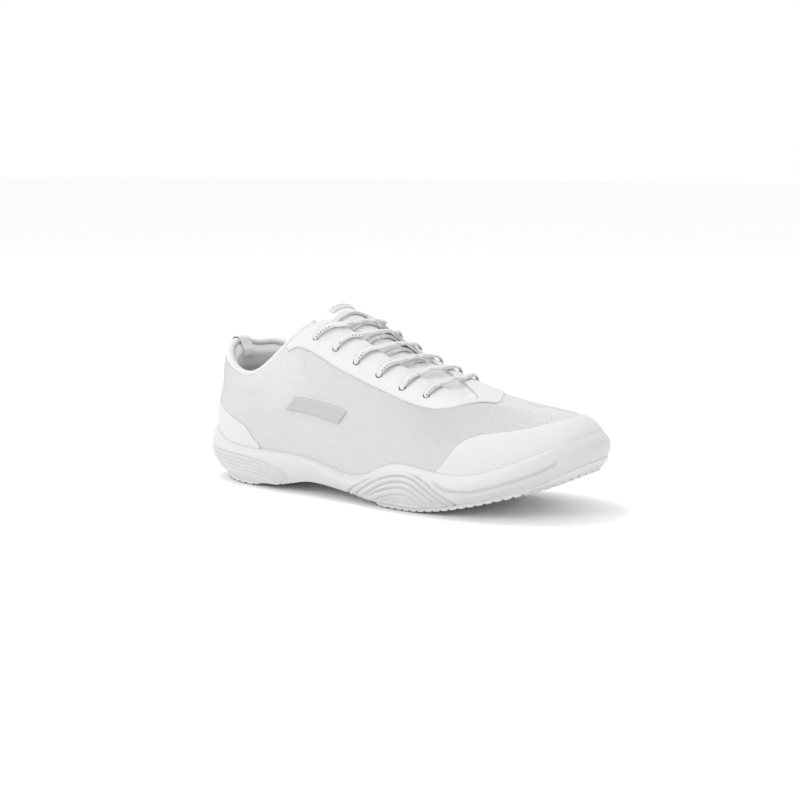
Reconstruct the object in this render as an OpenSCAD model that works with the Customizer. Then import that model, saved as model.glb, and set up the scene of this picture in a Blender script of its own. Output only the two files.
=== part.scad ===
// Cheer shoe for the right foot: a low laced shoe with a cup midsole, a lasted fabric upper
// with smooth overlays, a padded collar and tongue, and a sockliner that lifts out.
// Millimetres. +Z is up, +X points to the toe, +Y to the inner (medial) side of the foot.

/* [Size] */
// length of the sole, heel to toe
shoe_length = 266; // [225:1:310]
// width across the ball of the sole
shoe_width = 97; // [80:1:115]

/* [Upper] */
// outer fabric of the quarters and vamp
fabric_t = 1.2; // [0.8:0.1:2]
// foam laminated to the fabric where there is no stiffener
foam_back_t = 1.1; // [0.6:0.1:2]
// toe, heel and eyestay overlays
overlay_t = 0.8; // [0.4:0.1:1.5]
// lining
lining_t = 0.8; // [0.5:0.1:1.5]
// collar padding at its thickest
collar_pad_t = 5; // [2:0.5:7]
// collar padding under the top edge
collar_edge_t = 2.4; // [1.5:0.1:4]
// rolled binding along the top edge of the collar
binding_d = 4.4; // [3:0.2:6]

/* [Lacing] */
// punched lace holes
eyelet_d = 4.4; // [3.5:0.1:6]
// lace, wide side
lace_w = 3.6; // [2.4:0.1:4]
// lace, thin side
lace_t = 1.7; // [1.2:0.1:2]

/* [Tongue] */
// padding inside the tongue
tongue_pad_t = 4.2; // [2:0.2:7]
// cover and lining of the tongue
tongue_skin_t = 0.8; // [0.5:0.1:1.2]

/* [Sole] */
// rubber under the heel and the forefoot
outsole_t = 2.9; // [2:0.1:4]
// thickness of the cup wall at its top edge, measured from the upper
rim_t = 2.6; // [2:0.1:4]
// strobel board that closes the upper
board_t = 1.2; // [0.8:0.1:2]
// sockliner foam
sock_t = 3.4; // [2:0.1:6]
// sockliner cover fabric
sock_cover_t = 0.8; // [0.5:0.1:1.5]

/* [Hidden] */
clear = 0.15;                 // glue line or seam gap between layers
design_l = 268;               // length and width the station table is drawn at
design_w = 97.4;
kx = shoe_length / design_l;
ky = shoe_width / design_w;
kz = kx;
$fn = 24;

// Stations run round the shoe: 0 at the back of the heel, 1 to 9 along the outer side,
// 10 to 18 back along the inner side. Each row is
// [sole edge x, y], [side bulge x, y, z], rim height,
// [feather line x, y], [lower shape point], [upper shape point], [top line]
stations = [
    [[6, 0], [-11.5, 0, 12], 39, [4, 0], [-4, 0, 46], [12, 0, 64], [9, 0, 85]],
    [[11, -18], [-6, -24, 13], 32, [8, -19], [2, -23, 44], [14, -20, 64], [12, -14, 83]],
    [[32, -30], [27, -39, 17], 24, [30, -31], [27, -39, 42], [24, -34, 56], [20, -27, 74.5]],
    [[62, -32], [60, -40, 20], 24, [62, -33], [60, -42, 40], [48, -37, 54], [43, -31, 64]],
    [[96, -33], [94, -38, 18], 23, [96, -33], [94, -42, 38], [74, -38, 66], [65, -29, 84]],
    [[128, -38], [126, -45, 10], 10, [128, -37], [126, -45, 36], [96, -38, 76], [84, -24, 104]],
    [[162, -44], [160, -56, 14], 32, [160, -43], [158, -49, 38], [122, -37, 76], [100, -17, 106]],
    [[196, -43], [198, -52, 18], 19, [196, -44], [196, -48, 44], [156, -34, 68], [130, -15, 85]],
    [[230, -33], [236, -42, 25], 33, [234, -35], [238, -39, 56], [194, -24, 61], [160, -13, 71]],
    [[263, -8], [275, -10, 41], 50, [264, -12], [272, -12, 69], [226, -4, 56], [186, -5, 61]],
    [[259, 26], [267, 31, 41], 46, [259, 28], [265, 30, 65], [220, 14, 56], [186, 7, 61]],
    [[228, 41], [231, 50, 28], 33, [228, 43], [232, 48, 50], [184, 28, 63], [160, 15, 72]],
    [[190, 43], [190, 52, 20], 26, [190, 44], [190, 50, 44], [150, 36, 71], [130, 17, 86]],
    [[152, 34], [150, 43, 17], 24, [152, 35], [150, 43, 40], [118, 38, 78], [100, 19, 104]],
    [[118, 25], [116, 31, 17], 24, [118, 26], [116, 36, 40], [96, 39, 78], [82, 26, 106]],
    [[90, 25], [88, 31, 19], 25, [90, 27], [88, 37, 40], [72, 39, 70], [64, 30, 90]],
    [[62, 30], [60, 38, 20], 25, [62, 31], [60, 40, 42], [48, 38, 60], [43, 32, 76]],
    [[32, 30], [28, 39, 17], 26, [30, 31], [27, 39, 44], [24, 35, 62], [20, 28, 84]],
    [[11, 18], [-6, 24, 13], 33, [8, 19], [2, 23, 44], [14, 20, 63], [12, 14, 80]]
];
ns = len(stations);
// [x, z] of the footbed, and of the underside of the midsole
footbed = [[0, 20], [40, 19], [80, 17], [120, 14], [160, 12], [190, 14], [220, 20], [250, 31],
    [275, 42]];
underside = [[0, 7], [14, 4], [30, 3], [60, 3], [90, 8], [120, 5.5], [140, 3], [165, 3],
    [180, 4.5], [200, 8.5], [215, 12.5], [245, 22], [262, 30], [275, 37]];
// share of the height where the toe or heel overlay ends, and where the eyestay or the collar
// padding begins, against the station counted from the heel on either side
overlay_edge = [[0, .50], [1, .475], [1.8, .43], [2.5, .33], [2.75, .16], [3.25, .2], [6.25, .2],
    [6.75, .15], [7, .22], [7.25, .30], [7.5, .345], [7.75, .362], [8.3, .358], [9, .38],
    [9.5, .39]];
eyestay_edge = [[0, .70], [3, .70], [3.5, .735], [4, .87], [4.25, .94], [4.5, .92], [5, .82],
    [5.5, .725], [6, .672], [6.5, .63], [7, .582], [7.25, .572], [7.5, .592], [8, .68],
    [8.25, .73], [8.5, .78], [9, .855], [9.5, .885]];
// lace holes, top pair first: station on the outer side, on the inner side, shares of the
// height, and the stations where that row's bar crosses the two edges of the throat; the inner
// row sits a little nearer to the toe
eyelets = [[5.16, 5.50, .905, .86, 6.10, 6.20], [5.66, 5.94, .83, .80, 6.50, 6.60],
    [6.10, 6.34, .775, .76, 6.90, 7.00], [6.54, 6.74, .742, .725, 7.35, 7.42],
    [6.92, 7.08, .70, .695, 7.80, 7.86], [7.32, 7.42, .685, .69, 8.28, 8.30]];

// smooth curve through [x, y] points that never overshoots
function slope(t, i) = (t[i + 1][1] - t[i][1]) / (t[i + 1][0] - t[i][0]);
function lean(t, i) = i == 0 ? slope(t, 0) : i == len(t) - 1 ? slope(t, i - 1)
    : slope(t, i - 1) * slope(t, i) <= 0 ? 0
    : 2 * slope(t, i - 1) * slope(t, i) / (slope(t, i - 1) + slope(t, i));
function span(t, x, i = 0) = i >= len(t) - 2 || x < t[i + 1][0] ? i : span(t, x, i + 1);
function curve(t, x) = let (c = min(max(x, t[0][0]), t[len(t) - 1][0]), i = span(t, c),
    h = t[i + 1][0] - t[i][0], s = (c - t[i][0]) / h)
    (2 * s * s * s - 3 * s * s + 1) * t[i][1] + (s * s * s - 2 * s * s + s) * h * lean(t, i)
    + (3 * s * s - 2 * s * s * s) * t[i + 1][1] + (s * s * s - s * s) * h * lean(t, i + 1);

// closed cubic B-spline round the shoe, and its slope
function wrap(u) = u - ns * floor(u / ns);
function mix4(p, i, w) = w[0] * p[(i + ns - 1) % ns] + w[1] * p[i] + w[2] * p[(i + 1) % ns]
    + w[3] * p[(i + 2) % ns];
function around(p, u) = let (m = wrap(u), i = floor(m), t = m - i) mix4(p, i,
    [pow(1 - t, 3), 3 * t * t * t - 6 * t * t + 4, -3 * t * t * t + 3 * t * t + 3 * t + 1,
    t * t * t] / 6);
function around_slope(p, u) = let (m = wrap(u), i = floor(m), t = m - i) mix4(p, i,
    [-(1 - t) * (1 - t), 3 * t * t - 4 * t, -3 * t * t + 2 * t + 1, t * t] / 2);

k3 = [[kx, 0, 0], [0, ky, 0], [0, 0, kz]];
rows = [
    [for (s = stations) k3 * [s[3][0], s[3][1], curve(footbed, s[3][0])]],
    [for (s = stations) k3 * s[4]],
    [for (s = stations) k3 * s[5]],
    [for (s = stations) k3 * s[6]]];
sole_edge = [for (s = stations) k3 * [s[0][0], s[0][1], 0]];
bulge = [for (s = stations) k3 * s[1]];
rim = [for (s = stations) kz * s[2]];

function unit(v) = v / norm(v);
function lerp(a, b, t) = a + (b - a) * t;
function side(u) = min(wrap(u), ns - wrap(u));
function smooth(t) = let (c = min(max(t, 0), 1)) c * c * (3 - 2 * c);

// outer surface of the upper at station u and share v of the height, its normal and rise
function surf(u, v) = let (w = 1 - v) w * w * w * around(rows[0], u)
    + 3 * w * w * v * around(rows[1], u) + 3 * w * v * v * around(rows[2], u)
    + v * v * v * around(rows[3], u);
function rise(u, v) = let (w = 1 - v) 3 * w * w * (around(rows[1], u) - around(rows[0], u))
    + 6 * w * v * (around(rows[2], u) - around(rows[1], u))
    + 3 * v * v * (around(rows[3], u) - around(rows[2], u));
function run(u, v) = let (w = 1 - v) w * w * w * around_slope(rows[0], u)
    + 3 * w * w * v * around_slope(rows[1], u) + 3 * w * v * v * around_slope(rows[2], u)
    + v * v * v * around_slope(rows[3], u);
function out(u, v) = unit(cross(run(u, v), rise(u, v)));
function on(u, v, d) = surf(u, v) + d * out(u, v);

// share of the height that the cup wall reaches
function reach(u, lo = 0, hi = 0.9, n = 14) = n == 0 ? (lo + hi) / 2
    : surf(u, (lo + hi) / 2)[2] < around(rim, u) ? reach(u, (lo + hi) / 2, hi, n - 1)
    : reach(u, lo, (lo + hi) / 2, n - 1);

// every layer of the upper is cut on one net: nu lines round the shoe, nv levels up it
per = 4;
nu = ns * per;
nv = 9;
half = nu / 2;
rim_v = [for (i = [0:nu]) reach(i / per)];
function rim_at(i) = let (m = i - nu * floor(i / nu), k = floor(m))
    lerp(rim_v[k], rim_v[k + 1], m - k);
function knot(i, j) = let (s = side(i / per), a = max(rim_at(i), 0.06),
    b = max(curve(overlay_edge, s), a + 0.03), e = curve(eyestay_edge, s))
    j <= 0 ? 0.01 : j == 1 ? a : j == 2 ? b : j <= 5 ? lerp(b, e, (j - 2) / 3)
    : lerp(e, 1, [0, .35, .7, 1][j - 5]);
function level(i, j) = j == floor(j) ? knot(i, j)
    : lerp(knot(i, floor(j)), knot(i, floor(j) + 1), j - floor(j));
function net(i, j, d) = on(i / per, level(i, j), d);

// solid between an outer and an inner sheet of points [line][level]; keep marks the cells
function four(a, b, c, d) = [[a, b, c], [a, c, d]];
module shell(a, b, loop = false, keep = []) {
    n = len(a);
    m = len(a[0]);
    e = loop ? n : n - 1;
    function has(i, j) = (loop || (i >= 0 && i < e)) && j >= 0 && j < m - 1
        && (keep == [] || keep[(i + n) % n][j]);
    function o(i, j) = ((i + n) % n) * m + j;
    function q(i, j) = n * m + ((i + n) % n) * m + j;
    polyhedron(concat([for (p = a) each p], [for (p = b) each p]),
        [for (i = [0:e - 1], j = [0:m - 2]) if (has(i, j)) each concat(
            four(o(i, j), o(i, j + 1), o(i + 1, j + 1), o(i + 1, j)),
            [[q(i, j), q(i + 1, j), q(i + 1, j + 1)], [q(i, j), q(i + 1, j + 1), q(i, j + 1)]],
            has(i, j - 1) ? [] : four(o(i, j), o(i + 1, j), q(i + 1, j), q(i, j)),
            has(i, j + 1) ? []
                : four(o(i + 1, j + 1), o(i, j + 1), q(i, j + 1), q(i + 1, j + 1)),
            has(i - 1, j) ? [] : four(o(i, j + 1), o(i, j), q(i, j), q(i, j + 1)),
            has(i + 1, j) ? []
                : four(o(i + 1, j), o(i + 1, j + 1), q(i + 1, j + 1), q(i + 1, j)))]);
}
// patch of the upper between two depths
module patch(lines, levels, outer, inner)
    shell([for (i = lines) [for (j = levels) net(i, j, outer)]],
        [for (i = lines) [for (j = levels) net(i, j, inner)]]);

// where each layer lies, as lines of the net (the inner side mirrors the outer side)
function fold(i) = min(i - nu * floor(i / nu), nu - i + nu * floor(i / nu));
heel_end = 11;        // last line of the heel overlay
toe_start = 27;       // first line of the toe overlay
eyestay_start = 17;   // first line of the eyestay, where the collar ends
collar_full = 11;     // last line with the full collar padding
counter_end = 9;      // last line of the heel counter
puff_start = 30;      // first line of the toe puff
function in_collar(i) = fold(i) <= eyestay_start;
function stiff(i, j) = (fold(i) <= counter_end && j <= 4) || (fold(i) >= puff_start && j <= 2);
body_cells = [for (i = [0:nu - 1]) [for (j = [0:nv - 2])
    j < 5 || (in_collar(i) && in_collar(i + 1))]];

behind = -fabric_t - clear;                       // outer face of stiffeners and padding
lining_d = behind - foam_back_t - clear;          // outer face of the lining
pad_rows = [foam_back_t, collar_pad_t * 0.92, collar_pad_t, collar_edge_t];
function pad(i, j) = let (k = min(max(j - 5, 0), 3),
    t = lerp(pad_rows[floor(k)], pad_rows[min(floor(k) + 1, 3)], k - floor(k)))
    lerp(foam_back_t, t, smooth((eyestay_start - fold(i)) / (eyestay_start - collar_full)));
function lining_at(i, j) = j <= 5 || !in_collar(i) ? lining_d
    : behind - pad(i, j) - clear;

// the sole: edge, cup wall and the straight lines across it
function low_edge(u) = let (p = around(sole_edge, u))
    [p[0], p[1], kz * curve(underside, p[0] / kx)];
function wall(i, w) = let (u = i / per, v = rim_at(i), a = low_edge(u), b = around(bulge, u),
    c = on(u, v, rim_t * lerp(1, .45, smooth(side(u) - 8))))
    (1 - w) * (1 - w) * a + 2 * w * (1 - w) * b + w * w * c;
function covered(i) = fold(i) <= heel_end || fold(i) >= toe_start;
function seat_d(i) = covered(i) ? overlay_t + 2 * clear : clear;
across = 6;
function lift(p, z) = [p[0], p[1], p[2] + z];
function low_line(k, m) = lerp(low_edge(k / per), low_edge((nu - k) / per), m);
function inside_edge(i, d) = let (u = i / per, p = on(u, 0.01, lining_d - lining_t - d))
    [p[0], p[1], surf(u, 0)[2]];
function bed_line(k, m, d) = lerp(inside_edge(k, d), inside_edge(nu - k, d), m);

wall_steps = [0, .14, .28, .42, .56, .7, .85, 1];
cup_rings = concat(
    [for (w = wall_steps) [for (i = [0:nu - 1]) wall(i, w)]],
    [[for (i = [0:nu - 1]) on(i / per, rim_v[i], seat_d(i))],
     [for (i = [0:nu - 1]) let (p = on(i / per, 0.01, seat_d(i)))
        [p[0], p[1], surf(i / per, 0)[2] - clear]]]);
all_wall = [for (r = cup_rings) each r];
mid_x = (max([for (p = all_wall) p[0]]) + min([for (p = all_wall) p[0]])) / 2;
mid_y = (max([for (p = all_wall) p[1]]) + min([for (p = all_wall) p[1]])) / 2;
module placed() translate([-mid_x, -mid_y, 0]) children();

// solid of stacked closed rings, closed at both ends by straight lines across
module stack(rings) {
    r = len(rings);
    last = r - 1;
    base = r * nu;
    function mid(ring, k, m) = lerp(ring[k], ring[nu - k], m / across);
    function id(e, k, m) = k == 0 || k == half ? (e == 0 ? 0 : last * nu) + k
        : m == 0 ? (e == 0 ? 0 : last * nu) + k
        : m == across ? (e == 0 ? 0 : last * nu) + nu - k
        : base + e * (half - 1) * (across - 1) + (k - 1) * (across - 1) + m - 1;
    function face(e, a, b, c) = e == 0 ? [a, b, c] : [a, c, b];
    polyhedron(concat([for (g = rings) each g],
        [for (e = [0, 1], k = [1:half - 1], m = [1:across - 1]) mid(rings[e * last], k, m)]),
        concat(
            [for (g = [0:r - 2], i = [0:nu - 1]) let (n = (i + 1) % nu) each four(
                g * nu + i, (g + 1) * nu + i, (g + 1) * nu + n, g * nu + n)],
            [for (e = [0, 1], m = [0:across - 1])
                face(e, id(e, 0, 0), id(e, 1, m), id(e, 1, m + 1))],
            [for (e = [0, 1], k = [1:half - 2], m = [0:across - 1]) each [
                face(e, id(e, k, m), id(e, k + 1, m), id(e, k + 1, m + 1)),
                face(e, id(e, k, m), id(e, k + 1, m + 1), id(e, k, m + 1))]],
            [for (e = [0, 1], m = [0:across - 1])
                face(e, id(e, half - 1, m), id(e, half, 0), id(e, half - 1, m + 1))]));
}
// flat-lying slab between two heights over straight lines across the shoe
module slab(lines, shares, top, thick, d)
    shell([for (k = lines) [for (m = shares) lift(bed_line(k, m, d), top)]],
        [for (k = lines) [for (m = shares) lift(bed_line(k, m, d), top - thick)]]);

// the tongue: sewn under the vamp, wings under the eyestays, a crown between them.
// t runs from 0 at the vamp to 1 at the free end, q from -1 (outer side) to 1 (inner side)
tongue_d = -fabric_t - lace_t - 1.3;   // outer face of the wings
tongue_front = 8.7;                    // station where it leaves the vamp
tongue_back = 5.6;                     // station where its free end begins
sewn_t = 0.1;                          // t where it leaves the vamp
sewn_v = 0.90;                         // height share of the sewn end
free_t = 0.88;                         // t where the free end begins
wing_q = 0.6;                          // |q| where the wing begins
wing_v = 0.93;                         // height share of the wing edge
// [station, pull of the crown]
crown = [[5.3, 34], [6.1, 27], [7.2, 24], [7.7, 25], [8.3, 21], [8.7, 12]];
tongue_tip = 8.5;                      // free length past the last station
function upward(u) = unit([-0.1 * rise(u, 1)[0], rise(u, 1)[1], rise(u, 1)[2]]);
function tongue_flat(u, q) = let (s = q < 0 ? u : ns - u, a = abs(q))
    a >= wing_q ? on(s, lerp(1, wing_v, (a - wing_q) / (1 - wing_q)), tongue_d)
    : let (l = on(u, 1, tongue_d), r = on(ns - u, 1, tongue_d), h = (q / wing_q + 1) / 2,
        c = curve(crown, u))
        (2 * h * h * h - 3 * h * h + 1) * l + (h * h * h - 2 * h * h + h) * c * upward(u)
        + (3 * h * h - 2 * h * h * h) * r - (h * h * h - h * h) * c * upward(ns - u);
function tongue_mid(t, q) = t < sewn_t
    ? lerp(on(lerp(tongue_front, ns - tongue_front, (q + 1) / 2), sewn_v, tongue_d),
        tongue_flat(tongue_front, q), t / sewn_t)
    : t <= free_t
    ? tongue_flat(lerp(tongue_front, tongue_back, (t - sewn_t) / (free_t - sewn_t)), q)
    : let (f = (t - free_t) / (1 - free_t), g = tongue_tip * f * (1 - 0.45 * q * q),
        a = tongue_flat(tongue_back, q), b = tongue_flat(tongue_back + 0.2, q))
        a + g * unit(unit(a - b) + [0, 0, .2]);
function tongue_out(t, q) = let (e = 0.01, a = min(t + e, 1), b = max(t - e, 0),
    c = min(q + e, 1), f = max(q - e, -1))
    unit(cross(tongue_mid(a, q) - tongue_mid(b, q), tongue_mid(t, f) - tongue_mid(t, c)));
function tongue_on(t, q, d) = tongue_mid(t, q) + d * tongue_out(t, q);
tongue_lines = concat([0, sewn_t / 2], [for (k = [0:13]) lerp(sewn_t, free_t, k / 13)],
    [for (k = [1:4]) lerp(free_t, 1, k / 4)]);
tongue_rows = [1, .87, .73, .6, .4, .2, 0, -.2, -.4, -.6, -.73, -.87, -1];
// the padding thins out at the sewn end, along the wings and at the free end
function tongue_pad(t, q) = 0.8 + (tongue_pad_t - 0.8) * min(1, t * 2.2)
    * min(1, (1 - abs(q)) * 3) * min(1, (1 - t) * 9 + 0.25);
module tongue_layer(outer, fo, inner, fi)
    shell([for (t = tongue_lines) [for (q = tongue_rows)
            tongue_on(t, q, -outer - fo * tongue_pad(t, q))]],
        [for (t = tongue_lines) [for (q = tongue_rows)
            tongue_on(t, q, -inner - fi * tongue_pad(t, q))]]);

// the lace: [point, wide direction, width, thickness] at every ring.
// rows count from the top; s is 0 on the outer side and 1 on the inner side of the foot
along = [-0.85, 0, 0.5];               // wide direction of the strands across the throat
hole_w = 2.9;                          // the lace gathers in to pass a hole
hole_t = 2.2;
over_d = overlay_t + 2 * clear + lace_t / 2 + 0.5;  // lace centre above the eyestay
under_d = -fabric_t - lace_t / 2 - 0.7;              // lace centre below the eyestay
function flip(u, s) = s == 0 ? u : ns - u;
function eye_u(k, s) = eyelets[k][s];
function eye_v(k, s) = eyelets[k][2 + s];
function in_hole(k, s, d) = [on(flip(eye_u(k, s), s), eye_v(k, s), d), along, hole_w, hole_t];
function strand(p) = [p, along, lace_w, lace_t];
// t of the tongue that lies under station u
function tongue_t(u) = lerp(sewn_t, free_t, (tongue_front - u) / (tongue_front - tongue_back));
// three rings between a hole and the edge of the throat at the station called edge
function leave(k, s, edge, d, dd) = [for (f = [[.28, dd], [.65, 0], [1, 0]])
    strand(on(flip(lerp(eye_u(k, s), edge, f[0]), s), lerp(eye_v(k, s), 1, f[0]), d + f[1]))];
function back(list) = [for (i = [len(list) - 1:-1:0]) list[i]];
// strand over the tongue between station a on the outer side and station b on the inner side
function over_tongue(a, b, q, h) = strand(tongue_on(tongue_t(lerp(a, b, (q + 1) / 2)), q, h));
// strand pulled straight between two rings, lifted a little by the tongue under it
function pulled(a, b) = [for (f = [.25, .5, .75])
    strand(lerp(a[0], b[0], f) + 4.8 * f * (1 - f) * [.3, 0, 1])];
// bar across the outside of row k, from the inner hole to the outer hole
function bar(k) = let (a = leave(k, 0, eyelets[k][4], over_d, .7),
    b = leave(k, 1, eyelets[k][5], over_d, .7))
    concat([in_hole(k, 1, -.6), in_hole(k, 1, 1.5)], b, pulled(b[2], a[2]), back(a),
        [in_hole(k, 0, 1.5), in_hole(k, 0, -.6)]);
// diagonal on the inside, from the outer hole of row k to the inner hole of row k - 1
function diagonal(k) = let (a = eye_u(k, 0) + .1, b = eye_u(k - 1, 1) + .35)
    concat([in_hole(k, 0, under_d + .4)], leave(k, 0, a, under_d, -.4),
        [for (f = [.16, .33, .5, .67, .84])
            over_tongue(a, b, lerp(-.72, .72, f), lace_t / 2 + .5)],
        back(leave(k - 1, 1, b, under_d, -.4)), [in_hole(k - 1, 1, under_d + .4)]);
tail_d = lining_d - lining_t - lace_t / 2 - 0.5;
function tail(u, v, d = tail_d) = [on(u, v, d), unit(rise(u, v)), lace_w, lace_t];
inner_tail = [for (f = [0:.125:1]) tail(ns - lerp(4.75, 7.0, f), lerp(.60, .50, f),
    tail_d - 2 * (1 - f) * (1 - f))];
outer_tail = [for (f = [0:.25:1]) tail(lerp(4.9, 4.3, f), lerp(.745, .64, f),
    tail_d - .3 * (1 - f) - 2.6 * f * f)];
lace_path = concat(inner_tail, [tail(ns - 7.25, .58, tail_d + .2), in_hole(5, 1, under_d - .2)],
    [for (k = [5:-1:1]) each concat(bar(k), diagonal(k))], bar(0),
    [in_hole(0, 0, under_d - .2), tail(5.04, .865, under_d - 1.6)], outer_tail);
aglet_l = 14;
function ahead(a, b) = let (e = unit(b[0] - a[0]))
    [[b[0] + .2 * e, b[1], 2.4, 2.2], [b[0] + aglet_l * e, b[1], 2.4, 2.2]];
aglets_at = [ahead(outer_tail[3], outer_tail[4]), ahead(inner_tail[1], inner_tail[0])];

// solid tube through rings [point, wide direction, width, thickness]
module tube(path, sides = 8) {
    n = len(path);
    function dir(i) = unit(path[min(i + 1, n - 1)][0] - path[max(i - 1, 0)][0]);
    function ring(i) = let (t = dir(i), h = path[i][1], w = unit(h - (h * t) * t), e = cross(t, w))
        [for (k = [0:sides - 1]) let (a = 360 * (k + .5) / sides)
            path[i][0] + path[i][2] / 2 * cos(a) * w + path[i][3] / 2 * sin(a) * e];
    polyhedron([for (i = [0:n - 1]) each ring(i)], concat(
        [[for (k = [0:sides - 1]) k], [for (k = [0:sides - 1]) n * sides - 1 - k]],
        [for (i = [0:n - 2], k = [0:sides - 1]) let (m = (k + 1) % sides)
            each four(i * sides + k, (i + 1) * sides + k, (i + 1) * sides + m, i * sides + m)]));
}

// punched through the eyestay and its backing
module punches() for (k = [0:len(eyelets) - 1], s = [0, 1])
    let (u = flip(eye_u(k, s), s), v = eye_v(k, s), n = out(u, v))
        translate(surf(u, v)) rotate([0, acos(n[2]), atan2(n[1], n[0])])
            cylinder(h = 2 * (fabric_t + overlay_t) + 4, d = eyelet_d, center = true);

// rolled binding along the collar, from one top corner of the eyestay to the other
binding_end = 5.2;
function collar_mid(u) = let (f = fold(u * per)) f >= eyestay_start ? -0.9
    : -(fabric_t + 2 * clear + pad(u * per, 8) + lining_t) / 2;
function edge_up(u) = unit(cross(out(u, 1), run(u, 1)));   // square to the top edge
function binding_c(u) = on(u, 1, collar_mid(u)) + (binding_d / 2 + 0.4) * edge_up(u);
binding_path = [for (u = [-binding_end:.26:binding_end]) [binding_c(u), out(u, 1), binding_d,
    binding_d]];

// pull tab folded over the binding at the back of the heel
tab_half = 0.42;              // stations either side of the centre
tab_t = 1;
function tab_point(u, e, d) = // e: 0 to 2 up the outside, 2 to 6 over the top, 6 to 8 down inside
    e <= 2 ? net(u * per, 6.1 + 0.85 * e, overlay_t + 0.4 + d)
    : e < 6 ? let (a = 45 * (e - 2), r = binding_d / 2 + 1.1 + d)
        binding_c(u) + r * (cos(a) * out(u, 1) + sin(a) * edge_up(u))
    : let (j = 7.8 - 0.8 * (e - 6)) net(u * per, j, lining_at(u * per, j) - lining_t - 0.9 - d);
tab_steps = [0, 1, 2, 3, 4, 5, 6, 7, 8];

// raised slanted bar on the outer quarter, and a raised patch on the free end of the tongue
emblem_at = [4.55, 0.50];
emblem_size = [34, 11];
emblem_t = 0.7;
function emblem(a, b, d) = let (
    w = (emblem_size[0] * a + 0.9 * emblem_size[1] * b) / 2 / norm(run(emblem_at[0], emblem_at[1])),
    h = emblem_size[1] * b / 2 / norm(rise(emblem_at[0], emblem_at[1])))
    on(emblem_at[0] + w, emblem_at[1] + h - w * .1, d);
badge_t = [0.915, 0.975];
badge_q = 0.3;
badge_thick = 0.6;
function badge(t, q, d) = tongue_on(lerp(badge_t[0], badge_t[1], t), q * badge_q, d);

inset = [.035, .18, .34, .5, .66, .82, .965];
full = [for (m = [0:across]) m / across];
module outsole(lines) color("Gainsboro") placed()
    shell([for (k = lines) [for (m = inset) lift(low_line(k, m), -.1)]],
        [for (k = lines) [for (m = inset) lift(low_line(k, m), -.1 - outsole_t)]]);
module outsole_forefoot() outsole([for (k = [21:37]) k]);
module outsole_heel() outsole([for (k = [1:11]) k]);
module midsole() color("WhiteSmoke") placed() stack(cup_rings);
module strobel_board() color("Silver") placed()
    slab([.6, for (k = [1:37]) k, 37.4], full, board_t + .1, board_t, .3);
module sockliner_foam() color("LightGray") placed()
    slab([.9, for (k = [2:36]) k, 37.1], full, board_t + sock_t + .3, sock_t, .8);
module sockliner_cover() color("White") placed()
    slab([.9, for (k = [2:36]) k, 37.1], full, board_t + sock_t + sock_cover_t + .35,
        sock_cover_t, .8);
module upper_fabric() color("White") placed()
    shell([for (i = [0:nu - 1]) [for (j = [0:nv - 1]) net(i, j, 0)]],
        [for (i = [0:nu - 1]) [for (j = [0:nv - 1]) net(i, j, stiff(i, j)
            || (j >= 5 && in_collar(i)) ? -fabric_t : -fabric_t - foam_back_t)]],
        true, body_cells);
module upper_lining() color("LightGray") placed()
    shell([for (i = [0:nu - 1]) [for (j = [0:nv - 1]) net(i, j, lining_at(i, j))]],
        [for (i = [0:nu - 1]) [for (j = [0:nv - 1]) net(i, j, lining_at(i, j) - lining_t)]],
        true, body_cells);
module toe_puff() color("Silver") placed()
    patch([puff_start:nu - puff_start], [0, 1, 2], behind, behind - foam_back_t);
module heel_counter() color("Silver") placed()
    patch([-counter_end:counter_end], [0, 1, 2, 3, 4], behind, behind - foam_back_t);
module collar_foam() color("LightYellow") placed()
    shell([for (i = [-eyestay_start:eyestay_start]) [for (j = [5:8]) net(i, j, behind)]],
        [for (i = [-eyestay_start:eyestay_start]) [for (j = [5:8])
            net(i, j, behind - pad(i, j))]]);
module toe_overlay() color("White") placed()
    patch([toe_start:nu - toe_start], [0, 1, 2], overlay_t + clear, clear);
module heel_overlay() color("White") placed()
    patch([-heel_end:heel_end], [0, 1, 2], overlay_t + clear, clear);
module eyestay() color("White") placed() difference() {
    patch([eyestay_start:nu - eyestay_start], [5, 6, 7, 8], overlay_t + clear, clear);
    punches();
}
module eyestay_backing() color("Gainsboro") placed() difference() {
    patch([eyestay_start + .08, for (i = [eyestay_start + 1:nu - eyestay_start - 1]) i,
        nu - eyestay_start - .08], [5.05, 6, 7, 8], 0, -fabric_t);
    punches();
}
module collar_binding() color("White") placed() tube(binding_path);
module heel_pull_tab() color("White") placed()
    shell([for (u = [-1:.5:1]) [for (e = tab_steps) tab_point(u * tab_half, e, tab_t / 2)]],
        [for (u = [-1:.5:1]) [for (e = tab_steps) tab_point(u * tab_half, e, -tab_t / 2)]]);
module side_emblem() color("White") placed()
    shell([for (a = [-1:.25:1]) [for (b = [-1, 0, 1]) emblem(a, b, .35 + emblem_t)]],
        [for (a = [-1:.25:1]) [for (b = [-1, 0, 1]) emblem(a, b, .35)]]);
module tongue_cover() color("White") placed()
    tongue_layer(0, 0, tongue_skin_t, 0);
module tongue_foam() color("LightYellow") placed()
    tongue_layer(tongue_skin_t + .1, 0, tongue_skin_t + .1, 1);
module tongue_lining() color("Gainsboro") placed()
    tongue_layer(tongue_skin_t + .3, 1, 2 * tongue_skin_t + .3, 1);
module tongue_badge() color("White") placed()
    shell([for (t = [0:.25:1]) [for (q = [1:-.25:-1]) badge(t, q, .3 + badge_thick)]],
        [for (t = [0:.25:1]) [for (q = [1:-.25:-1]) badge(t, q, .3)]]);
module shoelace() color("White") placed() tube(lace_path, 6);
module aglet_outer() color("White") placed() tube(aglets_at[0]);
module aglet_inner() color("White") placed() tube(aglets_at[1]);

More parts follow.
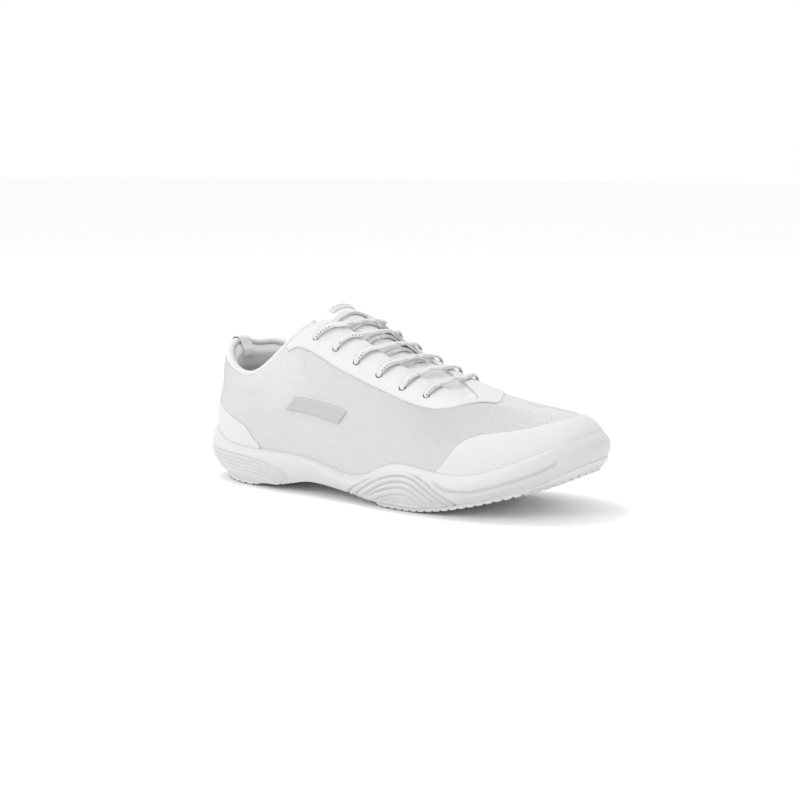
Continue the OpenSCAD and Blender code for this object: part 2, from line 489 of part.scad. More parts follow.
outsole_forefoot();
outsole_heel();
midsole();
strobel_board();
sockliner_foam();
sockliner_cover();
upper_fabric();
toe_puff();
heel_counter();
upper_lining();
collar_foam();
toe_overlay();
heel_overlay();
eyestay();
eyestay_backing();
collar_binding();
heel_pull_tab();
side_emblem();
tongue_cover();
tongue_foam();
tongue_lining();
tongue_badge();
shoelace();
aglet_outer();
aglet_inner();
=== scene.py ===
import math

import bmesh
import bpy
import numpy as np
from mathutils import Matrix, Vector


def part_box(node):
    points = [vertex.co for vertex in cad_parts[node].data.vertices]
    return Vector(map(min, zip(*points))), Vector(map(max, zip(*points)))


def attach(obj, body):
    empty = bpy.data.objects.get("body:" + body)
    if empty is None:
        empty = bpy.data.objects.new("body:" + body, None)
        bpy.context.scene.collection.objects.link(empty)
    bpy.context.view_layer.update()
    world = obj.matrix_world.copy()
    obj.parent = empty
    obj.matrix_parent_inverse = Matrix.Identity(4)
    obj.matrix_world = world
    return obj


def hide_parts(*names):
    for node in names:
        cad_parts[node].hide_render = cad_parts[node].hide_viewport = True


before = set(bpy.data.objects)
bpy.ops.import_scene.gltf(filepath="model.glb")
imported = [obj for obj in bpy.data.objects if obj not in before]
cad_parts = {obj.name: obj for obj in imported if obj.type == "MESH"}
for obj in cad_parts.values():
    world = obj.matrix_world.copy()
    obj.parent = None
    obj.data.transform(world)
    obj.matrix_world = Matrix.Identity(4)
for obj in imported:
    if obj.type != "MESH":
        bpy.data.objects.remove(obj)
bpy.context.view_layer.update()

# ---- sizes, in millimetres
SHOE_LENGTH = 266          # sole, heel to toe
SHOE_WIDTH = 97            # across the ball of the sole
FABRIC_T = 1.2
FOAM_BACK_T = 1.1          # foam laminated to the quarter fabric
OVERLAY_T = 0.8
LINING_T = 0.8
COLLAR_PAD_T = 5.0
COLLAR_EDGE_T = 2.4
BINDING_D = 4.4
EYELET_D = 4.4
LACE_W = 3.6
LACE_T = 1.7
TONGUE_PAD_T = 4.2
TONGUE_SKIN_T = 0.8
OUTSOLE_T = 2.9
RIM_T = 2.6                # cup wall at its top edge, from the upper
BOARD_T = 1.2
SOCK_T = 3.4
SOCK_COVER_T = 0.8
CLEAR = 0.15               # glue line or seam gap between layers
DESIGN_L = 268             # length and width that the station table is drawn at
DESIGN_W = 97.4
K = np.array([SHOE_LENGTH / DESIGN_L, SHOE_WIDTH / DESIGN_W, SHOE_LENGTH / DESIGN_L])

# Stations run round the shoe: 0 at the back of the heel, 1 to 9 along the outer side, 10 to 18
# back along the inner side. Each row is [sole edge x, y], [side bulge x, y, z], rim height,
# [feather line x, y], [lower shape point], [upper shape point], [top line]
STATIONS = [
    [[6, 0], [-11.5, 0, 12], 39, [4, 0], [-4, 0, 46], [12, 0, 64], [9, 0, 85]],
    [[11, -18], [-6, -24, 13], 32, [8, -19], [2, -23, 44], [14, -20, 64], [12, -14, 83]],
    [[32, -30], [27, -39, 17], 24, [30, -31], [27, -39, 42], [24, -34, 56], [20, -27, 74.5]],
    [[62, -32], [60, -40, 20], 24, [62, -33], [60, -42, 40], [48, -37, 54], [43, -31, 64]],
    [[96, -33], [94, -38, 18], 23, [96, -33], [94, -42, 38], [74, -38, 66], [65, -29, 84]],
    [[128, -38], [126, -45, 10], 10, [128, -37], [126, -45, 36], [96, -38, 76], [84, -24, 104]],
    [[162, -44], [160, -56, 14], 32, [160, -43], [158, -49, 38], [122, -37, 76], [100, -17, 106]],
    [[196, -43], [198, -52, 18], 19, [196, -44], [196, -48, 44], [156, -34, 68], [130, -15, 85]],
    [[230, -33], [236, -42, 25], 33, [234, -35], [238, -39, 56], [194, -24, 61], [160, -13, 71]],
    [[263, -8], [275, -10, 41], 50, [264, -12], [272, -12, 69], [226, -4, 56], [186, -5, 61]],
    [[259, 26], [267, 31, 41], 46, [259, 28], [265, 30, 65], [220, 14, 56], [186, 7, 61]],
    [[228, 41], [231, 50, 28], 33, [228, 43], [232, 48, 50], [184, 28, 63], [160, 15, 72]],
    [[190, 43], [190, 52, 20], 26, [190, 44], [190, 50, 44], [150, 36, 71], [130, 17, 86]],
    [[152, 34], [150, 43, 17], 24, [152, 35], [150, 43, 40], [118, 38, 78], [100, 19, 104]],
    [[118, 25], [116, 31, 17], 24, [118, 26], [116, 36, 40], [96, 39, 78], [82, 26, 106]],
    [[90, 25], [88, 31, 19], 25, [90, 27], [88, 37, 40], [72, 39, 70], [64, 30, 90]],
    [[62, 30], [60, 38, 20], 25, [62, 31], [60, 40, 42], [48, 38, 60], [43, 32, 76]],
    [[32, 30], [28, 39, 17], 26, [30, 31], [27, 39, 44], [24, 35, 62], [20, 28, 84]],
    [[11, 18], [-6, 24, 13], 33, [8, 19], [2, 23, 44], [14, 20, 63], [12, 14, 80]],
]
NS = len(STATIONS)
# [x, z] of the footbed, and of the underside of the midsole
FOOTBED = [[0, 20], [40, 19], [80, 17], [120, 14], [160, 12], [190, 14], [220, 20], [250, 31],
           [275, 42]]
UNDERSIDE = [[0, 7], [14, 4], [30, 3], [60, 3], [90, 8], [120, 5.5], [140, 3], [165, 3], [180, 4.5],
             [200, 8.5], [215, 12.5], [245, 22], [262, 30], [275, 37]]
# share of the height where the overlays end, and where the eyestay begins, against the station
# counted from the heel on either side
OVERLAY_EDGE = [[0, .50], [1, .475], [1.8, .43], [2.5, .33], [2.75, .16], [3.25, .2], [6.25, .2],
                [6.75, .15], [7, .22], [7.25, .30], [7.5, .345], [7.75, .362], [8.3, .358],
                [9, .38], [9.5, .39]]
EYESTAY_EDGE = [[0, .70], [3, .70], [3.5, .735], [4, .87], [4.25, .94], [4.5, .92], [5, .82],
                [5.5, .725], [6, .672], [6.5, .63], [7, .582], [7.25, .572], [7.5, .592],
                [8, .68], [8.25, .73], [8.5, .78], [9, .855], [9.5, .885]]
# lace holes, top pair first: station on the outer side, on the inner side, shares of the height,
# and the stations where the bar of that row crosses the two edges of the throat
EYELETS = [[5.16, 5.50, .905, .86, 6.10, 6.20], [5.66, 5.94, .83, .80, 6.50, 6.60],
           [6.10, 6.34, .775, .76, 6.90, 7.00], [6.54, 6.74, .742, .725, 7.35, 7.42],
           [6.92, 7.08, .70, .695, 7.80, 7.86], [7.32, 7.42, .685, .69, 8.28, 8.30]]
COLLAR_END = 4.25          # station where the eyestay begins
HEEL_END = 2.75            # station where the heel overlay ends
TOE_START = 6.75           # station where the toe overlay begins


def hermite(a, b, lean_a, lean_b, f):
    """Cubic from a to b at share f, leaving and arriving with the two slopes."""
    return ((2 * f**3 - 3 * f**2 + 1) * a + (f**3 - 2 * f**2 + f) * lean_a
            + (3 * f**2 - 2 * f**3) * b + (f**3 - f**2) * lean_b)


def curve(table, x):
    """Smooth curve through [x, y] points that never overshoots."""
    t = np.asarray(table, float)
    h = np.diff(t[:, 0])
    s = np.diff(t[:, 1]) / h
    with np.errstate(divide="ignore", invalid="ignore"):
        inner = np.where(s[:-1] * s[1:] > 0, 2 * s[:-1] * s[1:] / (s[:-1] + s[1:]), 0)
    lean = np.concatenate([s[:1], inner, s[-1:]])
    c = np.clip(x, t[0, 0], t[-1, 0])
    i = np.clip(np.searchsorted(t[:, 0], c, side="right") - 1, 0, len(h) - 1)
    f = (c - t[i, 0]) / h[i]
    return hermite(t[i, 1], t[i + 1, 1], h[i] * lean[i], h[i] * lean[i + 1], f)


def smooth(t):
    t = np.clip(t, 0, 1)
    return t * t * (3 - 2 * t)


def window(x, low, high, fade_in, fade_out):
    """1 between low and high, fading to 0 at both."""
    return smooth((x - low) / fade_in) * smooth((high - x) / fade_out)


def lerp(a, b, t):
    return a + (b - a) * t


def norm(v):
    return np.linalg.norm(v, axis=-1)


def unit(v):
    return v / norm(v)[..., None]


def both(a, b):
    return np.broadcast_arrays(np.asarray(a, float), np.asarray(b, float))


def side(u):
    """Station counted from the heel on either side."""
    u = np.mod(u, NS)
    return np.minimum(u, NS - u)


def around(points, u, slope=False):
    """Closed cubic B-spline round the shoe, or its slope."""
    p = np.asarray(points, float)
    m = np.mod(u, NS)
    i = np.floor(m).astype(int)
    t = (m - i)[..., None]
    if slope:
        w = [-(1 - t) ** 2 / 2, (3 * t * t - 4 * t) / 2, (-3 * t * t + 2 * t + 1) / 2, t * t / 2]
    else:
        w = [(1 - t) ** 3 / 6, (3 * t**3 - 6 * t * t + 4) / 6,
             (-3 * t**3 + 3 * t * t + 3 * t + 1) / 6, t**3 / 6]
    return sum(w[k] * p[(i - 1 + k) % NS] for k in range(4))


ROWS = [np.array([[s[3][0], s[3][1], curve(FOOTBED, s[3][0])] for s in STATIONS]) * K,
        np.array([s[4] for s in STATIONS]) * K,
        np.array([s[5] for s in STATIONS]) * K,
        np.array([s[6] for s in STATIONS]) * K]
SOLE_EDGE = np.array([[s[0][0], s[0][1], 0] for s in STATIONS]) * K
BULGE = np.array([s[1] for s in STATIONS]) * K
RIM = np.array([[s[2]] for s in STATIONS]) * K[2]


def weights(v):
    w = 1 - v
    return w**3, 3 * w * w * v, 3 * w * v * v, v**3


def surf(u, v):
    """Outer surface of the upper at station u and share v of the height."""
    u, v = both(u, v)
    return sum(w[..., None] * around(r, u) for w, r in zip(weights(v), ROWS))


def rise(u, v):
    u, v = both(u, v)
    r = [around(row, u) for row in ROWS]
    w = 1 - v[..., None]
    v = v[..., None]
    return 3 * w * w * (r[1] - r[0]) + 6 * w * v * (r[2] - r[1]) + 3 * v * v * (r[3] - r[2])


def run(u, v):
    u, v = both(u, v)
    return sum(w[..., None] * around(r, u, True) for w, r in zip(weights(v), ROWS))


def out(u, v):
    return unit(np.cross(run(u, v), rise(u, v)))


def on(u, v, d):
    return surf(u, v) + np.asarray(d, float)[..., None] * out(u, v)


def reach(u):
    """Share of the height that the cup wall reaches."""
    u = np.asarray(u, float)
    low, high = np.zeros(u.shape), np.full(u.shape, 0.9)
    target = around(RIM, u)[..., 0]
    for _ in range(22):
        mid = (low + high) / 2
        below = surf(u, mid)[..., 2] < target
        low, high = np.where(below, mid, low), np.where(below, high, mid)
    return (low + high) / 2


def collar_share(u):
    """1 where the collar has its full padding, 0 where the eyestay begins."""
    return smooth((COLLAR_END - side(u)) / 1.5)


def eye_edge(u):
    return curve(EYESTAY_EDGE, side(u))


def pad(u, v):
    """Thickness of the collar padding."""
    e = eye_edge(u)
    f = np.clip((v - e) / (1 - e), 0, 1)
    t = curve([[0, FOAM_BACK_T], [.35, COLLAR_PAD_T * .92], [.7, COLLAR_PAD_T],
               [1, COLLAR_EDGE_T]], f)
    return lerp(FOAM_BACK_T, t, collar_share(u))


BEHIND = -FABRIC_T - CLEAR                      # outer face of stiffeners and padding
LINING_D = BEHIND - FOAM_BACK_T - CLEAR         # outer face of the lining


def lining_at(u, v):
    return BEHIND - pad(u, v) - CLEAR


# ---- tongue
TONGUE_D = -FABRIC_T - LACE_T - 1.3    # outer face of the wings
TONGUE_FRONT = 8.7                     # station where it leaves the vamp
TONGUE_BACK = 5.6                      # station where its free end begins
SEWN_T = 0.1                           # t where it leaves the vamp
SEWN_V = 0.90                          # height share of the sewn end
FREE_T = 0.88                          # t where the free end begins
WING_Q = 0.6                           # |q| where the wing begins
WING_V = 0.93                          # height share of the wing edge
# [station, pull of the crown]
CROWN = [[5.3, 34], [6.1, 27], [7.2, 24], [7.7, 25], [8.3, 21], [8.7, 12]]
TONGUE_TIP = 8.5                       # free length past the last station


def upward(u):
    r = rise(u, 1.0)
    return unit(r * np.array([-0.1, 1, 1]))


def tongue_flat(u, q):
    u, q = both(u, q)
    s = np.where(q < 0, u, NS - u)
    a = np.abs(q)
    flat = np.full(u.shape, TONGUE_D)
    wing = on(s, lerp(1, WING_V, np.clip((a - WING_Q) / (1 - WING_Q), 0, 1)), flat)
    left, right = on(u, 1, flat), on(NS - u, 1, flat)
    h = ((q / WING_Q + 1) / 2)[..., None]
    c = curve(CROWN, u)[..., None]
    mid = hermite(left, right, c * upward(u), -c * upward(NS - u), h)
    return np.where((a >= WING_Q)[..., None], wing, mid)


def tongue_mid(t, q):
    t, q = both(t, q)
    d = np.full(t.shape, TONGUE_D)
    sewn = lerp(on(lerp(TONGUE_FRONT, NS - TONGUE_FRONT, (q + 1) / 2), np.full(t.shape, SEWN_V), d),
                tongue_flat(np.full(t.shape, TONGUE_FRONT), q), (t / SEWN_T)[..., None])
    body = tongue_flat(lerp(TONGUE_FRONT, TONGUE_BACK, (t - SEWN_T) / (FREE_T - SEWN_T)), q)
    f = (t - FREE_T) / (1 - FREE_T)
    g = (TONGUE_TIP * f * (1 - 0.45 * q * q))[..., None]
    a, b = (tongue_flat(np.full(t.shape, TONGUE_BACK + e), q) for e in (0, 0.2))
    free = a + g * unit(unit(a - b) + np.array([0, 0, 0.2]))
    return np.where((t < SEWN_T)[..., None], sewn, np.where((t <= FREE_T)[..., None], body, free))


def tongue_out(t, q):
    t, q = both(t, q)
    e = 0.01
    along_t = tongue_mid(np.minimum(t + e, 1), q) - tongue_mid(np.maximum(t - e, 0), q)
    along_q = tongue_mid(t, np.maximum(q - e, -1)) - tongue_mid(t, np.minimum(q + e, 1))
    return unit(np.cross(along_t, along_q))


def tongue_on(t, q, d):
    return tongue_mid(t, q) + np.asarray(d, float)[..., None] * tongue_out(t, q)


def tongue_t(u):
    return lerp(SEWN_T, FREE_T, (TONGUE_FRONT - u) / (TONGUE_FRONT - TONGUE_BACK))


# ---- lace route
ALONG = np.array([-0.85, 0, 0.5])               # wide direction of the strands
OVER_D = OVERLAY_T + 2 * CLEAR + LACE_T / 2 + 0.5   # lace centre above the eyestay
UNDER_D = -FABRIC_T - LACE_T / 2 - 0.7          # lace centre below the eyestay
HOLE_W, HOLE_T = 2.9, 2.2                       # the lace gathers in to pass a hole
TAIL_D = LINING_D - LINING_T - LACE_T / 2 - 0.5


def flip(u, s):
    return u if s == 0 else NS - u


def point(u, v, d):
    return on(np.float64(u), np.float64(v), np.float64(d))


def in_hole(k, s, d):
    return [point(flip(EYELETS[k][s], s), EYELETS[k][2 + s], d), ALONG, HOLE_W, HOLE_T]


def strand(p):
    return [p, ALONG, LACE_W, LACE_T]


def leave(k, s, edge, d, lift):
    """Three rings between a hole and the throat's edge at station edge."""
    u, v = EYELETS[k][s], EYELETS[k][2 + s]
    steps = [(.28, .28, lift), (.65, .65, 0), (1, 1, 0)]
    return [strand(point(flip(lerp(u, edge, a), s), lerp(v, 1, b), d + c)) for a, b, c in steps]


def over_tongue(a, b, q, h):
    """Ring over the tongue between station a on the outer and b on the inner side."""
    t = np.float64(tongue_t(lerp(a, b, (q + 1) / 2)))
    return strand(tongue_on(t, np.float64(q), np.float64(h)))


def span(a, b, shares, lift):
    """Rings of a strand pulled straight between two rings, lifted by the tongue under it."""
    rise_way = np.array([0.3, 0, 1])
    return [strand(lerp(a[0], b[0], f) + rise_way * 4 * f * (1 - f) * lift) for f in shares]


def bar(k):
    """Across the outside of row k, from the inner hole to the outer hole."""
    a, b = leave(k, 0, EYELETS[k][4], OVER_D, .7), leave(k, 1, EYELETS[k][5], OVER_D, .7)
    return ([in_hole(k, 1, -.6), in_hole(k, 1, 1.5)] + b + span(b[-1], a[-1], (.25, .5, .75), 1.2)
            + a[::-1] + [in_hole(k, 0, 1.5), in_hole(k, 0, -.6)])


def diagonal(k):
    """On the inside, from the outer hole of row k to the inner hole of row k - 1."""
    a, b = EYELETS[k][0] + .1, EYELETS[k - 1][1] + .35
    on_tongue = [over_tongue(a, b, lerp(-.72, .72, f), LACE_T / 2 + .5)
                 for f in (.16, .33, .5, .67, .84)]
    return ([in_hole(k, 0, UNDER_D + .4)] + leave(k, 0, a, UNDER_D, -.4) + on_tongue
            + leave(k - 1, 1, b, UNDER_D, -.4)[::-1] + [in_hole(k - 1, 1, UNDER_D + .4)])


def tail(u, v, d):
    return [point(u, v, d), unit(rise(np.float64(u), np.float64(v))), LACE_W, LACE_T]


INNER_TAIL = [tail(NS - lerp(4.75, 7.0, f), lerp(.60, .50, f), TAIL_D - 2 * (1 - f) ** 2)
              for f in np.linspace(0, 1, 9)]
OUTER_TAIL = [tail(lerp(4.9, 4.3, f), lerp(.745, .64, f), TAIL_D - .3 * (1 - f) - 2.6 * f * f)
              for f in np.linspace(0, 1, 5)]
LACE_PATH = INNER_TAIL + [tail(NS - 7.25, .58, TAIL_D + .2), in_hole(5, 1, UNDER_D - .2)]
for row in (5, 4, 3, 2, 1):
    LACE_PATH += bar(row) + diagonal(row)
LACE_PATH += bar(0) + [in_hole(0, 0, UNDER_D - .2), tail(5.04, .865, UNDER_D - 1.6)] + OUTER_TAIL


# ---- meshes
MM = 0.001


def low_edge(u):
    p = around(SOLE_EDGE, u)
    p[..., 2] = K[2] * curve(UNDERSIDE, p[..., 0] / K[0])
    return p


def covered(u):
    return (side(u) <= HEEL_END) | (side(u) >= TOE_START)


def seat_d(u):
    return np.where(covered(u), OVERLAY_T + 2 * CLEAR, CLEAR)


def rim_out(u):
    """The cup wall thins out towards the front of the toe."""
    return RIM_T * lerp(1, .45, smooth(side(u) - 8))


def wall(u, w):
    """Outer face of the cup: from the sole's edge (w = 0) to the rim (w = 1)."""
    u, w = both(u, w)
    w = w[..., None]
    return ((1 - w) ** 2 * low_edge(u) + 2 * w * (1 - w) * around(BULGE, u)
            + w * w * on(u, reach(u), rim_out(u)))


def frame_origin():
    """Shift from the drawing to the frame, so that the cup lies where the CAD midsole does."""
    low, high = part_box("midsole")
    u = np.linspace(0, NS, 400)[:, None]
    pts = wall(u, np.linspace(0, 1, 21)[None]).reshape(-1, 3)
    mid = (pts.min(0) + pts.max(0)) / 2
    want = (np.array(low) + np.array(high)) / 2 / MM
    return np.array([mid[0] - want[0], mid[1] - want[1], 0])


ORIGIN = frame_origin()


def build(name, verts, faces, uvs, weld=False, sharp=38):
    """Mesh object from points in drawing millimetres; uvs holds one pair a face corner."""
    mesh = bpy.data.meshes.new(name)
    mesh.from_pydata(((np.asarray(verts) - ORIGIN) * MM).tolist(), [], [list(f) for f in faces])
    layer = mesh.uv_layers.new(name="mm")
    layer.data.foreach_set("uv", np.asarray(uvs, np.float32).ravel())
    if weld:
        b = bmesh.new()
        b.from_mesh(mesh)
        bmesh.ops.remove_doubles(b, verts=b.verts, dist=2e-6)
        bmesh.ops.dissolve_degenerate(b, edges=b.edges, dist=1e-6)
        b.to_mesh(mesh)
        b.free()
    mesh.polygons.foreach_set("use_smooth", [True] * len(mesh.polygons))
    mesh.set_sharp_from_angle(angle=math.radians(sharp))
    mesh.validate()
    obj = bpy.data.objects.new(name, mesh)
    bpy.context.scene.collection.objects.link(obj)
    return obj


def finish(obj, slot, material, *nodes, body="shoe"):
    obj.data.materials.clear()
    obj.data.materials.append(material)
    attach(obj, body)
    if nodes:
        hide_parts(*nodes)
    return obj


def arc_uv(points, refs):
    """Arc lengths along both ways of a grid at the first and the second line of every column of
    faces, counted from the nearest of the lines in refs. points is [line][level]."""
    step = norm(np.diff(points, axis=0))
    along = np.concatenate([np.zeros((1, points.shape[1])), np.cumsum(step, 0)])
    n = len(points)
    base = along[[min(refs, key=lambda r: abs(r - i - .5)) for i in range(n - 1)]]
    up = np.concatenate([np.zeros((n, 1)), np.cumsum(norm(np.diff(points, axis=1)), 1)], 1)
    lines = [[along[:-1] - base, up[:-1]], [along[1:] - base, up[1:]]]
    return np.transpose(lines, (0, 2, 3, 1))


def shell(name, outer, inner, loop=False, refs=None, weld=False, sharp=38):
    """Closed solid between two sheets of points [line][level]; with loop the last line meets
    the first."""
    n, m = outer.shape[:2]
    e = n if loop else n - 1
    wrapped = np.concatenate([outer, outer[:1]]) if loop else outer
    uv = arc_uv(wrapped, refs or [n // 2])
    i, j = np.meshgrid(np.arange(e), np.arange(m - 1), indexing="ij")
    k = (i + 1) % n
    o = lambda a, b: a * m + b
    q = lambda a, b: n * m + a * m + b
    faces, corners = [], []

    def add(quad, places):
        faces.append(np.stack([f.ravel() for f in quad], -1))
        corners.append(np.stack([uv[second, a.ravel(), b.ravel()] for second, a, b in places], 1))

    add([o(i, j), o(k, j), o(k, j + 1), o(i, j + 1)],
        [(0, i, j), (1, i, j), (1, i, j + 1), (0, i, j + 1)])
    add([q(i, j), q(i, j + 1), q(k, j + 1), q(k, j)],
        [(0, i, j), (0, i, j + 1), (1, i, j + 1), (1, i, j)])
    a, b = np.arange(e), (np.arange(e) + 1) % n
    z, t = np.zeros(e, int), np.full(e, m - 1)
    add([o(a, z), q(a, z), q(b, z), o(b, z)], [(0, a, z), (0, a, z), (1, a, z), (1, a, z)])
    add([o(a, t), o(b, t), q(b, t), q(a, t)], [(0, a, t), (1, a, t), (1, a, t), (0, a, t)])
    if not loop:
        c = np.arange(m - 1)
        z, t = np.zeros(m - 1, int), np.full(m - 1, n - 1)
        add([o(z, c), o(z, c + 1), q(z, c + 1), q(z, c)],
            [(0, z, c), (0, z, c + 1), (0, z, c + 1), (0, z, c)])
        add([o(t, c), q(t, c), q(t, c + 1), o(t, c + 1)],
            [(1, t - 1, c), (1, t - 1, c), (1, t - 1, c + 1), (1, t - 1, c + 1)])
    verts = np.concatenate([outer.reshape(-1, 3), inner.reshape(-1, 3)])
    return build(name, verts, np.concatenate(faces), np.concatenate(corners), weld, sharp)


def walk(points):
    """Distance of every point along a line of points."""
    return np.concatenate([[0], np.cumsum(norm(np.diff(points, axis=0)))])


def place(x, distances, points):
    """Points at distances x along a line."""
    return np.stack([np.interp(x, distances, points[:, k]) for k in range(3)], -1)


def eased(n):
    """0 to 1 in n steps that crowd towards both ends."""
    return 0.5 - 0.5 * np.cos(np.linspace(0, math.pi, n))


def rounded(distance, radius):
    """Share of a film's thickness at a distance from its edge."""
    f = np.clip(distance / radius, 0, 1)
    return np.sqrt(1 - (1 - f) ** 2)


def ripple(p, size, seed=0.0):
    """Gentle unevenness from -1 to 1 that repeats every few times size."""
    x, y, z = np.moveaxis(p / size, -1, 0)
    return (np.sin(x * 1.7 + 1.3 * np.sin(y * 1.1 + seed) + seed)
            * np.cos(z * 1.9 + 1.1 * np.sin(x * 0.9 - seed)) + np.sin(y * 2.3 + z * 1.3 + seed)) / 2


def between(u, low, high, shares):
    """Arrays [line][level] of lines u and levels from low to high, numbers or one for a line."""
    low, high = (np.broadcast_to(x, u.shape)[:, None] for x in (low, high))
    return np.broadcast_arrays(u[:, None], lerp(low, high, shares[None]))


def tube(name, rings, sides, sharp=50, relief=None):
    """Closed tube through rings [centre, wide direction, width, thickness]."""
    c, h = (np.array([r[k] for r in rings]) for k in (0, 1))
    w, t = (np.array([r[k] for r in rings])[:, None, None] for k in (2, 3))
    d = unit(np.gradient(c, axis=0))
    wide = unit(h - (h * d).sum(-1, keepdims=True) * d)
    thin = np.cross(d, wide)
    a = (2 * math.pi * (np.arange(sides) + .5) / sides)[None, :, None]
    s = walk(c)
    grow = 0 if relief is None else relief(s[:, None], a[..., 0])[..., None]
    pts = (c[:, None] + (w / 2 + grow) * np.cos(a) * wide[:, None]
           + (t / 2 + grow) * np.sin(a) * thin[:, None])
    last = (len(rings) - 1) * sides
    i, j = np.meshgrid(np.arange(len(rings) - 1), np.arange(sides), indexing="ij")
    corners = ((0, 0), (0, 1), (1, 1), (1, 0))
    quads = np.stack([(i + a) * sides + (j + b) % sides for a, b in corners], -1).reshape(-1, 4)
    girth = float(np.mean(w) + np.mean(t)) * 1.4 / sides
    uv = np.stack([np.stack([s[i + a], (j + b) * girth], -1) for a, b in corners], 2).reshape(-1, 2)
    ends = [list(range(sides))[::-1], list(range(last, last + sides))]
    uv = uv.tolist() + [(x, k * girth) for x in (0, s[-1]) for k in range(sides)]
    return build(name, pts.reshape(-1, 3), quads.tolist() + ends, uv, sharp=sharp)


def resample(rings, step):
    """Smooth curve through rings, as rings a step apart."""
    c = np.array([r[0] for r in rings])
    rest = np.array([np.concatenate([r[1], [r[2], r[3]]]) for r in rings])
    rest[:, :3] = unit(rest[:, :3])
    knots = np.concatenate([[0], np.cumsum(norm(np.diff(c, axis=0)) ** 0.5)])
    result = []
    for k in range(len(c) - 1):
        p = [c[max(k - 1, 0)], c[k], c[k + 1], c[min(k + 2, len(c) - 1)]]
        h = knots[k + 1] - knots[k]
        a = (p[2] - p[0]) / max(knots[min(k + 1, len(c) - 1)] - knots[max(k - 1, 0)], 1e-6) * h
        b = (p[3] - p[1]) / max(knots[min(k + 2, len(c) - 1)] - knots[k], 1e-6) * h
        n = max(1, round(norm(p[2] - p[1]) / step))
        for f in np.arange(n) / n:
            r = lerp(rest[k], rest[k + 1], smooth(f))
            result.append([hermite(p[1], p[2], a, b, f), r[:3], r[3], r[4]])
    result.append([c[-1], rest[-1, :3], rest[-1, 3], rest[-1, 4]])
    return result


def stitches(name, points, normals, stitch=2.3, gap=0.9, width=0.55):
    """Row of thread stitches along a line of points, each a small rounded bar in the cloth."""
    s = walk(points)
    verts, faces = [], []
    ring = [(math.cos(a), math.sin(a)) for a in np.linspace(0, math.pi, 5)]
    for start in np.arange(0, s[-1] - stitch, stitch + gap):
        base = len(verts)
        for f, r in ((0, .35), (.15, .85), (.5, 1), (.85, .85), (1, .35)):
            at = start + f * stitch
            p, n = place(at, s, points), unit(place(at, s, normals))
            across = unit(np.cross(n, place(at + .1, s, points) - p))
            verts += [p + across * x * r * width / 2 + n * (y * r * width * .55 - .08)
                      for x, y in ring]
        for a in range(base, base + 20, 5):
            faces += [[a + b, a + b + 1, a + b + 6, a + b + 5] for b in range(4)]
            faces.append([a + 4, a, a + 5, a + 9])
        faces += [[base + x for x in (4, 3, 2, 1, 0)], [base + 20 + x for x in range(5)]]
    return build(name, verts, faces, [(0, 0)] * sum(len(f) for f in faces))


# ---- materials
class Graph:
    """A material's node graph, built by short calls."""

    def __init__(self, name):
        self.material = bpy.data.materials.new(name)
        self.material.use_nodes = True
        self.tree = self.material.node_tree
        self.tree.nodes.clear()
        self.shader = self.node("ShaderNodeBsdfPrincipled")
        end = self.node("ShaderNodeOutputMaterial")
        self.tree.links.new(self.shader.outputs[0], end.inputs[0])
        self.place = self.node("ShaderNodeTexCoord").outputs["Object"]
        uv = self.node("ShaderNodeUVMap")
        uv.uv_map = "mm"
        parts = self.node("ShaderNodeSeparateXYZ")
        self.link(uv.outputs[0], parts.inputs[0])
        self.u, self.v = parts.outputs[0], parts.outputs[1]

    def node(self, kind):
        return self.tree.nodes.new(kind)

    def link(self, value, socket):
        if isinstance(value, bpy.types.NodeSocket):
            self.tree.links.new(value, socket)
        else:
            socket.default_value = value

    def math(self, operation, *values):
        n = self.node("ShaderNodeMath")
        n.operation = operation
        for value, socket in zip(values, n.inputs):
            self.link(value, socket)
        return n.outputs[0]

    def add(self, a, b):
        return self.math("ADD", a, b)

    def blend(self, value, factor, start):
        return self.math("MULTIPLY_ADD", value, factor, start)

    def mul(self, a, b):
        return self.math("MULTIPLY", a, b)

    def wave(self, value, pitch, shift=0.0):
        return self.math("SINE", self.add(self.mul(value, 2 * math.pi / pitch), shift))

    def noise(self, scale, detail=3.0, rough=0.55):
        n = self.node("ShaderNodeTexNoise")
        self.link(self.place, n.inputs["Vector"])
        n.inputs["Scale"].default_value = scale
        n.inputs["Detail"].default_value = detail
        n.inputs["Roughness"].default_value = rough
        return n.outputs["Fac"]

    def painted_groove_shade(self):
        """Mask for painted shade: 1 on open surfaces, falling in grooves."""
        n = self.node("ShaderNodeNewGeometry")
        return self.math("SMOOTH_MIN", self.blend(n.outputs["Pointiness"], 2.4, -0.2), 1.0, 0.1)

    def mix(self, fac, a, b):
        n = self.node("ShaderNodeMix")
        n.data_type = "RGBA"
        self.link(fac, n.inputs[0])
        for value, socket in ((a, n.inputs[6]), (b, n.inputs[7])):
            self.link(value if isinstance(value, bpy.types.NodeSocket) else (*value, 1), socket)
        return n.outputs[2]

    def bump(self, height, distance):
        n = self.node("ShaderNodeBump")
        n.inputs["Strength"].default_value = 1.0
        n.inputs["Distance"].default_value = distance
        self.link(height, n.inputs["Height"])
        self.link(n.outputs[0], self.shader.inputs["Normal"])

    def finish(self, colour, roughness, specular=0.5, sheen=0.0, under=0.0):
        self.link(colour, self.shader.inputs["Base Color"])
        self.link(roughness, self.shader.inputs["Roughness"])
        self.shader.inputs["Specular IOR Level"].default_value = specular
        self.shader.inputs["Sheen Weight"].default_value = sheen
        if under:
            self.shader.inputs["Subsurface Weight"].default_value = under
            self.shader.inputs["Subsurface Scale"].default_value = 0.002
        return self.material


def darker(colour, factor):
    return tuple(factor * c for c in colour)


def tones(g, light, dark):
    """Slow colour variation over the whole shoe, with a little fine grain in it."""
    broad = g.blend(g.noise(9.0, 2.0), 0.8, g.mul(g.noise(420.0, 2.0), 0.25))
    return g.mix(broad, light, dark)


